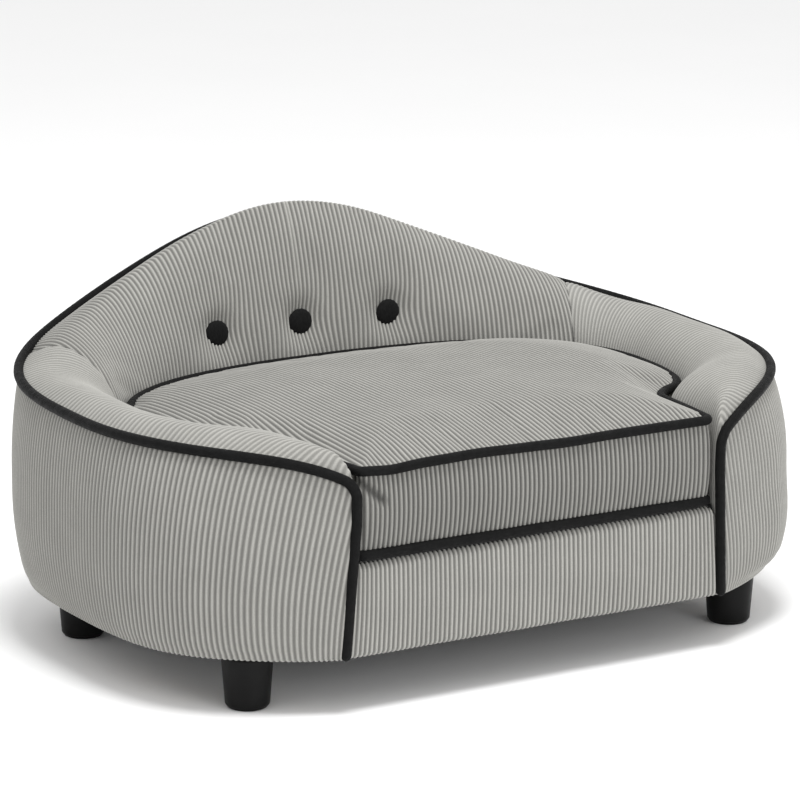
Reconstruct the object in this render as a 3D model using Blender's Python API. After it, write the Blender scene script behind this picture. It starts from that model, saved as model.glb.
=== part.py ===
"""Pet sofa bed: a camel-backed upholstered frame on four feet, with a loose T-shaped cushion.

Metres, +Z up, +X to the sitter's right, -Y to the front. The origin is on the floor under the middle
of the bed. The wall (left arm, back and right arm) is one C in plan. A vertical section plane through
the wall is named by its station: it holds the point where the outer piping runs and the matching point
of the inner face, and everything in the wall is drawn in that plane as (depth, height), where depth
runs from the piping inwards.
"""
import math

import bmesh
import bpy
import numpy as np

# ---- Plan of the wall -------------------------------------------------------------------------------
HALF_WIDTH = 0.331  # outer piping line at the widest point
WIDEST_Y = -0.0097
BACK_REACH, BACK_POWER = 0.2395, 3.25  # superellipse behind the widest point
FRONT_REACH, FRONT_POWER = 0.248, 2.48  # and in front of it
FRONT_HALF_WIDTH = 0.1825  # top of the piping down the front edge of each arm
EDGE_LEAN = 0.008  # the foot of that front edge stands this much further out
INNER_HALF_WIDTH, INNER_WIDEST_Y = 0.258, -0.0047
INNER_REACH, INNER_POWER = 0.166, 2.4
INNER_FRONT = [  # from the widest point of the seat round the ear to the front edge
    (0.258, -0.0047), (0.254, -0.0487), (0.243, -0.0887), (0.226, -0.1117),
    (0.206, -0.1237), (0.193, -0.1407), (0.188, -0.1787), (0.184, -0.2107), (0.182, -0.2277),
]
FRONT_Y = -0.2272  # face of the front panel
CUSHION_FRONT_Y = -0.2257

# ---- Heights ----------------------------------------------------------------------------------------
FOOT_HEIGHT = 0.0464
UNDERSIDE = 0.048
BOARD_BOTTOM, BOARD_TOP = 0.0493, 0.0613
ARM_HEIGHT, BACK_RISE, BACK_SPREAD = 0.2275, 0.105, 0.1575  # piping height and the hump of the back
FRONT_DROP, FRONT_RUN, CORNER_RADIUS = 0.034, 0.050, 0.012  # the arm falls towards its front edge
CROWN_RISE = 0.0125  # of the pad over the piping
CROWN_DEPTH, TIP_CROWN_DEPTH = 0.35, 0.50  # where the crown is, as a share of the width, and at the arm's tip
FACE_TOP = 0.190  # the inner face is upright below this
BACK_LEAN = 0.85  # 0 would give the back the round roll of the arms; 1 a straight lean
INNER_PANEL_TOP = 0.180
CLEAT_TOP, RAIL_TOP, DECK_TOP = 0.1040, 0.1252, 0.1290
SEAT_FOAM_FOOT = 0.1136  # the foam of the wall reaches down to just over the deck board
CUSHION_BOTTOM = DECK_TOP + 0.0003
CUSHION_PIPING_LOW, CUSHION_PIPING_HIGH, CUSHION_CROWN = 0.1355, 0.2075, 0.224

# ---- Thicknesses ------------------------------------------------------------------------------------
GAP = 0.0003
CLOTH_GAP = 0.0018
CLOTH = 0.002
PANEL = 0.006
OUTER_BULGE, SHOULDER_BULGE = 0.0085, 0.0075
LOWER_TAPER, LOWER_ROUND, ROUND_HEIGHT = 0.015, 0.008, 0.028  # how the outer wall draws in at the bottom
BOARD_INSET, DUST_COVER_INSET = 0.0185, 0.0275
PANEL_DEPTH = 0.0145  # depth of the outer panel's outer face
RAIL_INSET, RAIL_THICKNESS = 0.0095, 0.012  # front rail, behind the face of the front panel
POST_INSIDE, POST_OUTSIDE = 0.1814, 0.1990  # the posts at the rail's ends, across the bed
CLEAT_INSIDE, CLEAT_OUTSIDE = 0.2540, 0.2680  # the deck's side cleats, across the bed
INNER_PAD = 0.021  # foam between the inner panel and the seat
PIPING_RADIUS = 0.0045
CUSHION_PIPING_RADIUS = 0.0043
SEAT_CLEARANCE = 0.0022  # between the cushion and the inner face
FRONT_CORNER = 0.011  # radius of the seat's front corners

# ---- Small parts ------------------------------------------------------------------------------------
BUTTON_X = (-0.091, 0.0, 0.091)
BUTTON_HEIGHT, BUTTON_RADIUS, BUTTON_THICKNESS, BUTTON_SINK = 0.2375, 0.0123, 0.006, 0.0115
TWINE_RADIUS, TOGGLE_RADIUS, TOGGLE_THICKNESS = 0.0011, 0.009, 0.0015
RECESS_RADIUS, TWINE_HOLE_RADIUS = 0.0135, 0.0017
FOOT_TOP_RADIUS, FOOT_BOTTOM_RADIUS = 0.022, 0.019
FOOT_PLACES = {
    "front_left": (-0.247, -0.161), "front_right": (0.247, -0.161),
    "back_left": (-0.270, 0.096), "back_right": (0.270, 0.096),
}
BOLT_RADIUS, BOLT_HOLE_RADIUS, NUT_BARREL, NUT_FLANGE = 0.004, 0.0055, 0.0052, 0.008
BOLT_FOOT, BOLT_TOP = 0.021, 0.0645
ZIP_Y, ZIP_HALF_LENGTH, SLIDER_LENGTH, PULL_LENGTH = 0.091, 0.125, 0.010, 0.016
ZIP_RECESS = 0.0050  # the zip's tape is this far above the cushion's underside

MATERIALS = {}  # name -> material, filled by material()


def material(name, color, roughness, metallic=0.0):
    if name not in MATERIALS:
        made = bpy.data.materials.new(name)
        made.use_nodes = True
        shader = made.node_tree.nodes["Principled BSDF"]
        shader.inputs["Base Color"].default_value = (*color, 1.0)
        shader.inputs["Roughness"].default_value = roughness
        shader.inputs["Metallic"].default_value = metallic
        made.diffuse_color = (*color, 1.0)
        MATERIALS[name] = made
    return MATERIALS[name]


def corduroy(name):
    return material(name, (0.40, 0.39, 0.365), 0.85)


def black_cloth(name):
    return material(name, (0.012, 0.012, 0.013), 0.6)


def foam(name):
    return material(name, (0.80, 0.76, 0.62), 0.95)


def board(name):
    return material(name, (0.52, 0.38, 0.22), 0.7)


def steel(name):
    return material(name, (0.62, 0.62, 0.62), 0.35, 1.0)


# ---- Making meshes ----------------------------------------------------------------------------------
def add_object(name, mesh_maker, made_of, smooth_angle=35):
    """Turns a bmesh into a named object with outward faces."""
    bmesh.ops.recalc_face_normals(mesh_maker, faces=mesh_maker.faces)
    mesh = bpy.data.meshes.new(name)
    mesh_maker.to_mesh(mesh)
    mesh_maker.free()
    mesh.materials.append(made_of)
    mesh.shade_smooth()
    mesh.set_sharp_from_angle(angle=math.radians(smooth_angle))
    made = bpy.data.objects.new(name, mesh)
    bpy.context.scene.collection.objects.link(made)
    return made


def loft(name, rings, made_of, closed=False):
    """Skins a list of point loops; the ends are capped unless the last ring meets the first."""
    build = bmesh.new()
    loops = [[build.verts.new(point) for point in ring] for ring in rings]
    count = len(loops[0])
    pairs = list(zip(loops, loops[1:]))
    if closed:
        pairs.append((loops[-1], loops[0]))
    for first, second in pairs:
        for i in range(count):
            j = (i + 1) % count
            build.faces.new((first[i], first[j], second[j], second[i]))
    if not closed:
        build.faces.new(loops[0])
        build.faces.new(loops[-1])
    return add_object(name, build, made_of)


def slab(name, outline, bottom, top, made_of):
    """A flat board or sheet with the given plan outline."""
    rings = [[(x, y, z) for x, y in outline] for z in (bottom, top)]
    return loft(name, rings, made_of)


def block(name, low, high, made_of):
    outline = [(low[0], low[1]), (high[0], low[1]), (high[0], high[1]), (low[0], high[1])]
    return slab(name, outline, low[2], high[2], made_of)


def turned(name, profile, centre, made_of, axis="z", sides=16):
    """Turns (radius, along) points about an axis through centre; the profile starts and ends on it."""
    def place(radius, along, angle):
        across, up = radius * math.cos(angle), radius * math.sin(angle)
        if axis == "z":
            offset = (across, up, along)
        elif axis == "y":
            offset = (across, along, up)
        return tuple(c + o for c, o in zip(centre, offset))

    build = bmesh.new()
    rings = []
    for radius, along in profile:
        if radius == 0:
            rings.append([build.verts.new(place(0, along, 0))])
        else:
            angles = (2 * math.pi * k / sides for k in range(sides))
            rings.append([build.verts.new(place(radius, along, angle)) for angle in angles])
    for first, second in zip(rings, rings[1:]):
        for i in range(sides):
            j = (i + 1) % sides
            lower = [first[i % len(first)], first[j % len(first)]]
            upper = [second[j % len(second)], second[i % len(second)]]
            build.faces.new(list(dict.fromkeys(lower + upper)))
    return add_object(name, build, made_of)


def tube(name, points, radius, made_of, cyclic=False):
    """Piping: a round cord cover swept along its points."""
    curve = bpy.data.curves.new(name, "CURVE")
    curve.dimensions = "3D"
    curve.bevel_depth = radius
    curve.bevel_resolution = 1
    curve.use_fill_caps = not cyclic
    spline = curve.splines.new("POLY")
    spline.points.add(len(points) - 1)
    for target, point in zip(spline.points, points):
        target.co = (*point, 1.0)
    spline.use_cyclic_u = cyclic
    curve.materials.append(made_of)
    made = bpy.data.objects.new(name, curve)
    bpy.context.scene.collection.objects.link(made)
    return made


def cut(target, *cutters):
    """Boolean differences that stay on the object, with their cutters hidden."""
    for cutter in cutters:
        cutter.hide_render = True
        cutter.display_type = "WIRE"
        modifier = target.modifiers.new("cut_" + cutter.name, "BOOLEAN")
        modifier.operation = "DIFFERENCE"
        modifier.solver = "EXACT"
        modifier.object = cutter


# ---- Plan curves ------------------------------------------------------------------------------------
def superellipse(half_width, reach, power, centre_y, start, end, count):
    """Points of a superellipse quarter between two angles in degrees, 90 being straight back."""
    points = []
    for angle in np.radians(np.linspace(start, end, count)):
        c, s = math.cos(angle), math.sin(angle)
        x = half_width * math.copysign(abs(c) ** (2 / power), c)
        y = centre_y + reach * math.copysign(abs(s) ** (2 / power), s)
        points.append((x, y))
    return points


def smooth_through(points, steps):
    """Catmull-Rom curve through points, each span in the given number of steps."""
    given = np.array(points)
    known = np.array([2 * given[0] - given[1], *given, 2 * given[-1] - given[-2]])
    made = []
    for a, b, c, d in zip(known, known[1:], known[2:], known[3:]):
        linear, square, cube = c - a, 2 * a - 5 * b + 4 * c - d, 3 * b - a - 3 * c + d
        for t in np.arange(steps) / steps:
            made.append((2 * b + linear * t + square * t**2 + cube * t**3) / 2)
    return np.array([*made, known[-2]])


def lengths_along(points):
    steps = np.linalg.norm(np.diff(points, axis=0), axis=1)
    return np.concatenate([[0.0], np.cumsum(steps)])


def point_at(points, lengths, distance):
    return np.array([np.interp(distance, lengths, points[:, k]) for k in range(points.shape[1])])


def nearest_length(points, lengths, target):
    return lengths[np.argmin(np.linalg.norm(points - np.array(target), axis=1))]


def outer_half():
    """The piping line in plan, from the middle of the back to the front edge of the right arm."""
    back = superellipse(HALF_WIDTH, BACK_REACH, BACK_POWER, WIDEST_Y, 90, 0, 160)
    front = superellipse(HALF_WIDTH, FRONT_REACH, FRONT_POWER, WIDEST_Y, 0, -90, 160)
    return np.array(back + [p for p in front[1:] if p[0] >= FRONT_HALF_WIDTH])


def inner_half():
    back = superellipse(INNER_HALF_WIDTH, INNER_REACH, INNER_POWER, INNER_WIDEST_Y, 90, 0, 160)
    return np.array([*back[:-1], *smooth_through(INNER_FRONT, 12)])


OUTER, INNER = outer_half(), inner_half()
OUTER_LENGTHS, INNER_LENGTHS = lengths_along(OUTER), lengths_along(INNER)
HALF_RUN = OUTER_LENGTHS[-1]
# Matching points of the two curves: back middle, seam, widest, shoulder, ear, taper and front edge.
SEAM_OUTER, SEAM_INNER = (0.284, 0.1713), (0.243, 0.0813)  # where arm pad and back pad meet
MATCHES = [
    (OUTER[0], INNER[0]), (SEAM_OUTER, SEAM_INNER), ((0.331, -0.0097), (0.258, -0.0047)),
    ((0.307, -0.1287), (0.243, -0.0887)), ((0.277, -0.1747), (0.200, -0.1297)),
    ((0.236, -0.2077), (0.187, -0.1837)), (OUTER[-1], INNER[-1]),
]
OUTER_MARKS = [nearest_length(OUTER, OUTER_LENGTHS, outer) for outer, _ in MATCHES]
INNER_MARKS = [nearest_length(INNER, INNER_LENGTHS, inner) for _, inner in MATCHES]
SEAM_RUN = OUTER_MARKS[1]


def front_lean(height):
    return EDGE_LEAN * min(1.0, max(0.0, (0.165 - height) / (0.165 - UNDERSIDE)))


class Station:
    """One upright section plane of the wall, run metres along the piping from the back's middle."""

    def __init__(self, run):
        self.side = math.copysign(1, run)
        run = abs(run)
        self.run = run
        self.outer, self.inner = self.ends_at(run)
        self.width = float(np.linalg.norm(self.inner - self.outer))
        self.inward = (self.inner - self.outer) / self.width
        left = HALF_RUN - run
        fall = FRONT_DROP * math.exp(-left / FRONT_RUN)
        if left < CORNER_RADIUS:
            fall += CORNER_RADIUS - math.sqrt(CORNER_RADIUS**2 - (CORNER_RADIUS - left) ** 2)
        self.rise = math.exp(-((run / BACK_SPREAD) ** 2) / 2)
        self.piping = ARM_HEIGHT + BACK_RISE * self.rise - fall
        self.left = left

    def ends_at(self, run):
        mirror = np.array([self.side, 1])
        outer = point_at(OUTER, OUTER_LENGTHS, run)
        inner = point_at(INNER, INNER_LENGTHS, np.interp(run, OUTER_MARKS, INNER_MARKS))
        return outer * mirror, inner * mirror

    def place(self, profile):
        """Carries (depth, height) points into the room; near the front edge the plane leans."""
        points = []
        for depth, height in profile:
            lean = front_lean(height) * math.exp(-self.left / 0.03)
            outer = self.outer
            if lean > 0.0002:
                outer = self.ends_at(self.run - lean)[0]
            points.append((*(outer + self.inward * depth), height))
        return points

    def wall_depth(self, height):
        """Depth of the outer face: full to below its middle, then tapered and rounded under."""
        share = (height - UNDERSIDE) / (self.piping - UNDERSIDE)
        fullness = min(1.0, self.width / 0.08)
        bulge = OUTER_BULGE + SHOULDER_BULGE * math.exp(-(((self.left - 0.14) / 0.09) ** 2))
        swell = math.sin(math.pi / 2 * min(1.0, max(0.0, 1 - share) / 0.45)) ** 0.8
        turn = min(1.0, max(0.0, 1 - (height - UNDERSIDE) / ROUND_HEIGHT))
        taper = LOWER_TAPER * max(0.0, 1 - share / 0.45) ** 2
        round_under = LOWER_ROUND * (1 - math.sqrt(1 - turn**2))
        return fullness * (taper + round_under - bulge * swell)

    def outer_face(self):
        steepness = 1 + 1.1 * math.exp(-self.left / 0.02)  # the piping runs down to the front edge
        top = self.piping - (PIPING_RADIUS + 0.0009) * steepness
        heights = top + (UNDERSIDE - top) * np.array([0, 0.12, 0.3, 0.55, 0.75, 0.9, 0.97, 1])
        return [(self.wall_depth(height), float(height)) for height in heights]

    def pad_face(self):
        """The padded face, from beside the piping over the crown to the upright inner face."""
        crown = self.piping + CROWN_RISE * min(1.0, self.width / 0.045)
        tip = math.exp(-((self.left / 0.07) ** 2))
        crown_depth = (CROWN_DEPTH + (TIP_CROWN_DEPTH - CROWN_DEPTH) * tip) * self.width
        start = (PIPING_RADIUS + 0.001, self.piping + 0.001)
        points = [start, ((start[0] + crown_depth) / 2, start[1] + (crown - start[1]) * 0.75)]
        power_depth, power_height = 2 - BACK_LEAN * self.rise, 2 - 0.6 * self.rise
        foot = min(FACE_TOP, self.piping - 0.03) - 0.02 * self.rise
        for angle in np.radians([90, 72, 54, 38, 22, 8, 0]):
            depth = crown_depth + (self.width - crown_depth) * math.cos(angle) ** (2 / power_depth)
            height = foot + (crown - foot) * math.sin(angle) ** (2 / power_height)
            points.append((depth, height))
        return points

    def depth_of_face(self, height):
        upward = np.array(self.pad_face()[:1:-1])
        return float(np.interp(height, upward[:, 1], upward[:, 0]))


def offset_line(points, distance):
    """Moves an open (depth, height) line to its right-hand side by distance."""
    line = np.array(points, float)
    steps = np.diff(line, axis=0)
    steps /= np.linalg.norm(steps, axis=1)[:, None]
    normals = np.stack([steps[:, 1], -steps[:, 0]], axis=1)
    first, last = normals[:1], normals[-1:]
    before, after = np.concatenate([first, normals]), np.concatenate([normals, last])
    joint = before + after
    joint /= (joint * before).sum(axis=1)[:, None]
    return [tuple(point) for point in line + joint * distance]


def wall_piece(name, runs, profile_of, made_of):
    """Sweeps a closed (depth, height) profile along the wall."""
    stations = [Station(run) for run in runs]
    return loft(name, [station.place(profile_of(station)) for station in stations], made_of)


def spaced(start, end, step):
    return list(np.linspace(start, end, max(2, round(abs(end - start) / step) + 1)))


# Stations of an arm, as distances from its front edge, closer together round its front corner.
TAPER_LEFTS = [0.0105, 0.0135, 0.018, 0.030, 0.045, 0.060, 0.075]
SEAM_GAP = 0.0005
ARM_LEFTS = TAPER_LEFTS + spaced(0.075, HALF_RUN - SEAM_RUN - SEAM_GAP, 0.036)[1:]
PADDED_FROM = 0.075
BACK_RUNS = spaced(SEAM_GAP - SEAM_RUN, SEAM_RUN - SEAM_GAP, 0.036)


def arm_runs(side, nearest=0.0, furthest=1.0):
    """Stations of one arm from the seam forward; side is 1 on the right."""
    lefts = [left for left in ARM_LEFTS[::-1] if nearest <= left <= furthest]
    return [side * (HALF_RUN - left) for left in lefts]


# ---- Covers, foam and panels of the wall ------------------------------------------------------------
def outer_cover_profile(station):
    face = station.outer_face()
    back = offset_line(face, -CLOTH)
    lining = [point for point in back if point[1] > UNDERSIDE + 0.006]
    hem_depth = face[-1][0] + min(0.012, max(0.003, station.width - 0.012))
    hem = [(hem_depth, UNDERSIDE), (hem_depth, UNDERSIDE + 0.001), (back[-1][0], UNDERSIDE + 0.001)]
    return face + hem + lining[::-1]


def pad_cover_profile(station):
    face = station.pad_face() + [(station.width, DECK_TOP + 0.0005)]
    lining = offset_line(face, CLOTH)
    lining = [(depth, max(height, DECK_TOP + 0.0005)) for depth, height in lining]
    return face + lining[::-1]


def outer_panel_profile(station):
    top = station.piping - 0.014
    return [
        (PANEL_DEPTH, BOARD_TOP + GAP), (PANEL_DEPTH, top),
        (PANEL_DEPTH + PANEL, top), (PANEL_DEPTH + PANEL, BOARD_TOP + GAP),
    ]


def inner_panel_profile(station):
    far = station.width - INNER_PAD
    return [
        (far - PANEL, BOARD_TOP + GAP), (far - PANEL, INNER_PANEL_TOP),
        (far, INNER_PANEL_TOP), (far, BOARD_TOP + GAP),
    ]


def top_rail_profile(station):
    near, far = PANEL_DEPTH + PANEL + GAP, station.width - INNER_PAD - PANEL - GAP
    bottom = INNER_PANEL_TOP - 0.014
    return [(near, bottom), (near, INNER_PANEL_TOP), (far, INNER_PANEL_TOP), (far, bottom)]


def foam_profile(station):
    near = PANEL_DEPTH + PANEL + GAP
    face = offset_line(station.pad_face(), CLOTH + CLOTH_GAP)
    over = [(depth, height) for depth, height in face if depth > near + 0.002]
    start_height = float(np.interp(near, [p[0] for p in face[:3]], [p[1] for p in face[:3]])) - 0.002
    seat = station.width - CLOTH - CLOTH_GAP
    bottom = SEAT_FOAM_FOOT
    shelf = INNER_PANEL_TOP + GAP
    inner = station.width - INNER_PAD + GAP
    count = 8  # every section keeps the same number of points
    while len(over) > count:
        over.pop(0)
    while len(over) < count:
        over.insert(0, ((near + over[0][0]) / 2, (start_height + over[0][1]) / 2))
    return [(near, start_height), *over, (seat, bottom), (inner, bottom), (inner, shelf), (near, shelf)]


def tip_foam_profile(station):
    """Solid wadding where the arm is too thin for a frame."""
    face = offset_line(station.pad_face(), CLOTH + CLOTH_GAP)
    bottom = DECK_TOP + 0.001
    return [*face, (station.width - CLOTH - CLOTH_GAP, bottom), (face[0][0], bottom)]


def build_wall():
    grey = corduroy("corduroy_outer")
    inner_grey = corduroy("corduroy_inner")
    hardboard, pine = board("hardboard"), board("pine")
    whole = arm_runs(-1)[::-1] + BACK_RUNS[1:-1] + arm_runs(1)
    wall_piece("outer_wrap_cover", whole, outer_cover_profile, grey)
    for name, side in (("left", -1), ("right", 1)):
        padded = arm_runs(side, PADDED_FROM)
        framed = padded[:-1]
        tip = [side * (HALF_RUN - left) for left in (PADDED_FROM - SEAM_GAP, 0.060, 0.046)]
        wall_piece(name + "_arm_cover", arm_runs(side), pad_cover_profile, inner_grey)
        wall_piece(name + "_arm_foam", padded, foam_profile, foam("foam_arm"))
        wall_piece(name + "_arm_tip_wadding", tip, tip_foam_profile, foam("wadding"))
        wall_piece(name + "_arm_outer_panel", padded, outer_panel_profile, hardboard)
        wall_piece(name + "_arm_inner_panel", framed, inner_panel_profile, hardboard)
        wall_piece(name + "_arm_rail", framed, top_rail_profile, pine)
    wall_piece("back_rail", BACK_RUNS, top_rail_profile, pine)
    wall_piece("back_inner_panel", BACK_RUNS, inner_panel_profile, hardboard)
    back_cover = wall_piece("back_cover", BACK_RUNS, pad_cover_profile, inner_grey)
    back_foam = wall_piece("back_foam", BACK_RUNS, foam_profile, foam("foam_back"))
    back_panel = wall_piece("back_outer_panel", BACK_RUNS, outer_panel_profile, hardboard)
    build_buttons(back_cover, back_foam, back_panel)


# ---- Piping -----------------------------------------------------------------------------------------
def edge_piping_points():
    """Up the left arm's front edge, round the top of the wall and down the right arm's front edge."""
    lefts = [0.0, 0.0005, 0.002, 0.0045, 0.008, 0.014, 0.026, 0.045]
    runs = [HALF_RUN - left for left in lefts]
    half = runs + spaced(runs[-1], 0, 0.022)[1:]
    top = [(*Station(run).outer, Station(run).piping) for run in half]
    corner = top[0][2]
    rising = []
    for z in np.linspace(UNDERSIDE + 0.003, corner - 0.006, 7):
        lean_x, lean_y = point_at(OUTER, OUTER_LENGTHS, HALF_RUN - front_lean(z))
        rising.append((float(lean_x), float(lean_y) + 0.004 * (corner - z) / corner, float(z)))
    right = [*rising, *top]
    return [(-x, y, z) for x, y, z in right] + right[::-1][1:]


# ---- Buttons in the back ----------------------------------------------------------------------------
def back_face_y(x, height):
    """Where the back pad's face is at a place across the bed."""
    runs = np.linspace(0, SEAM_RUN, 80)
    faces = [Station(run) for run in runs]
    places = np.array([face.outer + face.inward * face.depth_of_face(height) for face in faces])
    return float(np.interp(abs(x), places[:, 0], places[:, 1]))


def panel_y(x, depth):
    runs = np.linspace(0, SEAM_RUN, 80)
    places = np.array([Station(run).outer + Station(run).inward * depth for run in runs])
    return float(np.interp(abs(x), places[:, 0], places[:, 1]))


def build_buttons(back_cover, back_foam, back_panel):
    """Covered buttons pulled into the back pad by twine that is tied off behind the back panel."""
    spare = material("cutter", (1, 0, 0), 1)
    for number, x in enumerate(BUTTON_X, 1):
        centre = (x, 0, BUTTON_HEIGHT)
        seat = back_face_y(x, BUTTON_HEIGHT) + BUTTON_SINK
        rear = panel_y(x, PANEL_DEPTH) + 0.002
        front = seat - BUTTON_THICKNESS
        dome = [
            (0, front), (BUTTON_RADIUS * 0.6, front + 0.0008), (BUTTON_RADIUS * 0.9, front + 0.0024),
            (BUTTON_RADIUS, front + 0.0042), (BUTTON_RADIUS * 0.93, seat - GAP), (0, seat - GAP),
        ]
        turned(f"back_button_{number}", dome, centre, black_cloth("button_cloth"), "y")
        tie = [
            (0, seat), (TWINE_RADIUS, seat), (TWINE_RADIUS, rear), (TOGGLE_RADIUS, rear),
            (TOGGLE_RADIUS, rear + TOGGLE_THICKNESS), (0, rear + TOGGLE_THICKNESS),
        ]
        turned(f"button_tie_{number}", tie, centre, black_cloth("twine"), "y", 8)
        recess = [(0, seat - 0.08), (RECESS_RADIUS, seat - 0.08), (RECESS_RADIUS, seat), (0, seat)]
        recess_cutter = turned(f"recess_{number}", recess, centre, spare, "y")
        hole = [
            (0, seat - 0.01), (TWINE_HOLE_RADIUS, seat - 0.01),
            (TWINE_HOLE_RADIUS, rear + 0.02), (0, rear + 0.02),
        ]
        hole_cutter = turned(f"twine_hole_{number}", hole, centre, spare, "y", 8)
        cut(back_cover, recess_cutter)
        cut(back_foam, recess_cutter, hole_cutter)
        cut(back_panel, hole_cutter)


# ---- Base, deck and front ---------------------------------------------------------------------------
def plan_ring(depth_of, front_y):
    """Plan outline that follows the wall at a depth, closed by a straight front at front_y."""
    right = []
    for run in [run for run in BACK_RUNS if run > -0.001] + arm_runs(1, 0.018):
        station = Station(run)
        x, y = station.outer + station.inward * depth_of(station)
        right.append((float(x), max(float(y), front_y)))
    reached = sum(y > front_y for _, y in right)
    right = right[:reached + 1]
    left = [(-x, y) for x, y in right[1:]]
    return right + left[::-1]


def inner_outline(inset, front_y):
    """The seat's outline, drawn in by inset from the inner face; the front is straight."""
    steps = np.linspace(0, INNER_LENGTHS[-1], 27)
    line = np.array([point_at(INNER, INNER_LENGTHS, step) for step in steps])
    tangent = np.gradient(line, axis=0)
    tangent /= np.linalg.norm(tangent, axis=1)[:, None]
    normal = np.stack([tangent[:, 1], -tangent[:, 0]], axis=1)
    moved = line + normal * inset
    radius = FRONT_CORNER
    right = [(float(max(x, 0)), float(y)) for x, y in moved if y > front_y + radius + 0.001]
    right[0] = (0.0, right[0][1])
    corner_x = right[-1][0]
    right.append((corner_x - 0.0005, front_y + radius))
    for angle in (math.pi / 6, math.pi / 3, math.pi / 2):
        inward = radius * (1 - math.cos(angle))
        right.append((corner_x - inward, front_y + radius * (1 - math.sin(angle))))
    right += [(x, front_y) for x in (0.11, 0.055)]
    left = [(-x, y) for x, y in right[1:]]
    return right + [(0.0, front_y)] + left[::-1]


def build_base():
    spare = material("cutter", (1, 0, 0), 1)
    rail_front = FRONT_Y + RAIL_INSET
    rail_back = rail_front + RAIL_THICKNESS
    base_outline = plan_ring(lambda s: BOARD_INSET, rail_front)
    base = slab("base_board", base_outline, BOARD_BOTTOM, BOARD_TOP, board("plywood"))
    dust_outline = plan_ring(lambda s: DUST_COVER_INSET, rail_back + 0.002)
    dust = slab("dust_cover", dust_outline, UNDERSIDE - 0.0013, UNDERSIDE - GAP, black_cloth("dust_cloth"))
    for place, (x, y) in FOOT_PLACES.items():
        hole = [(0, 0.03), (BOLT_HOLE_RADIUS, 0.03), (BOLT_HOLE_RADIUS, 0.08), (0, 0.08)]
        hole_cutter = turned("bolt_hole_" + place, hole, (x, y, 0), spare, sides=10)
        cut(base, hole_cutter)
        cut(dust, hole_cutter)
        build_foot(place, x, y)
    build_front_frame(rail_front, rail_back)
    build_deck(rail_back)
    build_front_cover()


def build_front_frame(rail_front, rail_back):
    pine = board("pine")
    floor = BOARD_TOP + GAP
    half_rail = POST_INSIDE - 0.0004
    block("front_rail", (-half_rail, rail_front, floor), (half_rail, rail_back, RAIL_TOP), pine)
    block("front_foam", (-POST_INSIDE, FRONT_Y + CLOTH + 0.0009, BOARD_BOTTOM),
          (POST_INSIDE, rail_front - 0.0004, RAIL_TOP), foam("foam_front"))
    for side, sign in (("left", -1), ("right", 1)):
        low, high = sorted((sign * POST_INSIDE, sign * POST_OUTSIDE))
        block(f"{side}_front_post", (low, rail_front + 0.001, floor), (high, rail_back, RAIL_TOP), pine)


def build_deck(rail_back):
    """The deck under the cushion: cleats, a board, thin foam and a black lining."""
    pine = board("pine")
    floor = BOARD_TOP + GAP
    for side, sign in (("left", -1), ("right", 1)):
        low, high = sorted((sign * CLEAT_INSIDE, sign * CLEAT_OUTSIDE))
        block(f"{side}_deck_cleat", (low, -0.050, floor), (high, 0.035, CLEAT_TOP), pine)
    block("back_deck_cleat", (-0.070, 0.154, floor), (0.070, 0.169, CLEAT_TOP), pine)
    block("front_deck_cleat", (-0.150, rail_back + GAP, floor), (0.150, rail_back + 0.015, CLEAT_TOP), pine)
    board_top = CLEAT_TOP + GAP + 0.009
    board_outline = plan_ring(lambda s: max(s.width - INNER_PAD + 0.0016, s.width * 0.62), rail_back + 0.001)
    slab("deck_board", board_outline, CLEAT_TOP + GAP, board_top, board("plywood"))
    foam_outline = inner_outline(0.001, rail_back + 0.0006)
    slab("deck_foam", foam_outline, board_top + GAP, DECK_TOP - CLOTH - 0.0004, foam("foam_deck"))
    cover_outline = inner_outline(0.001, FRONT_Y + 0.0085)
    slab("deck_cover", cover_outline, DECK_TOP - CLOTH - 0.0001, DECK_TOP, black_cloth("deck_cloth"))


def build_front_cover():
    """The front panel's cloth: flat face, a lip over the rail and a hem under the base board."""
    back, low = FRONT_Y + CLOTH, UNDERSIDE
    lip_y, hem_y = FRONT_Y + 0.0079, FRONT_Y + RAIL_INSET + RAIL_THICKNESS
    profile = [
        (FRONT_Y, low), (FRONT_Y, 0.1260), (FRONT_Y + 0.0015, 0.1285), (FRONT_Y + 0.004, DECK_TOP),
        (lip_y, DECK_TOP), (lip_y, DECK_TOP - 0.002), (back + 0.0006, DECK_TOP - 0.002), (back, 0.1255),
        (back, low + 0.001), (hem_y, low + 0.001), (hem_y, low),
    ]
    half_width = FRONT_HALF_WIDTH - 0.0035
    softened = half_width - 0.003  # the face is drawn in slightly beyond this
    rings = []
    for x, drawn_in in ((-half_width, 0.002), (-softened, 0), (softened, 0), (half_width, 0.002)):
        rings.append([(x, y + (drawn_in if y == FRONT_Y else 0), z) for y, z in profile])
    loft("front_cover", rings, corduroy("corduroy_front"))


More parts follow.
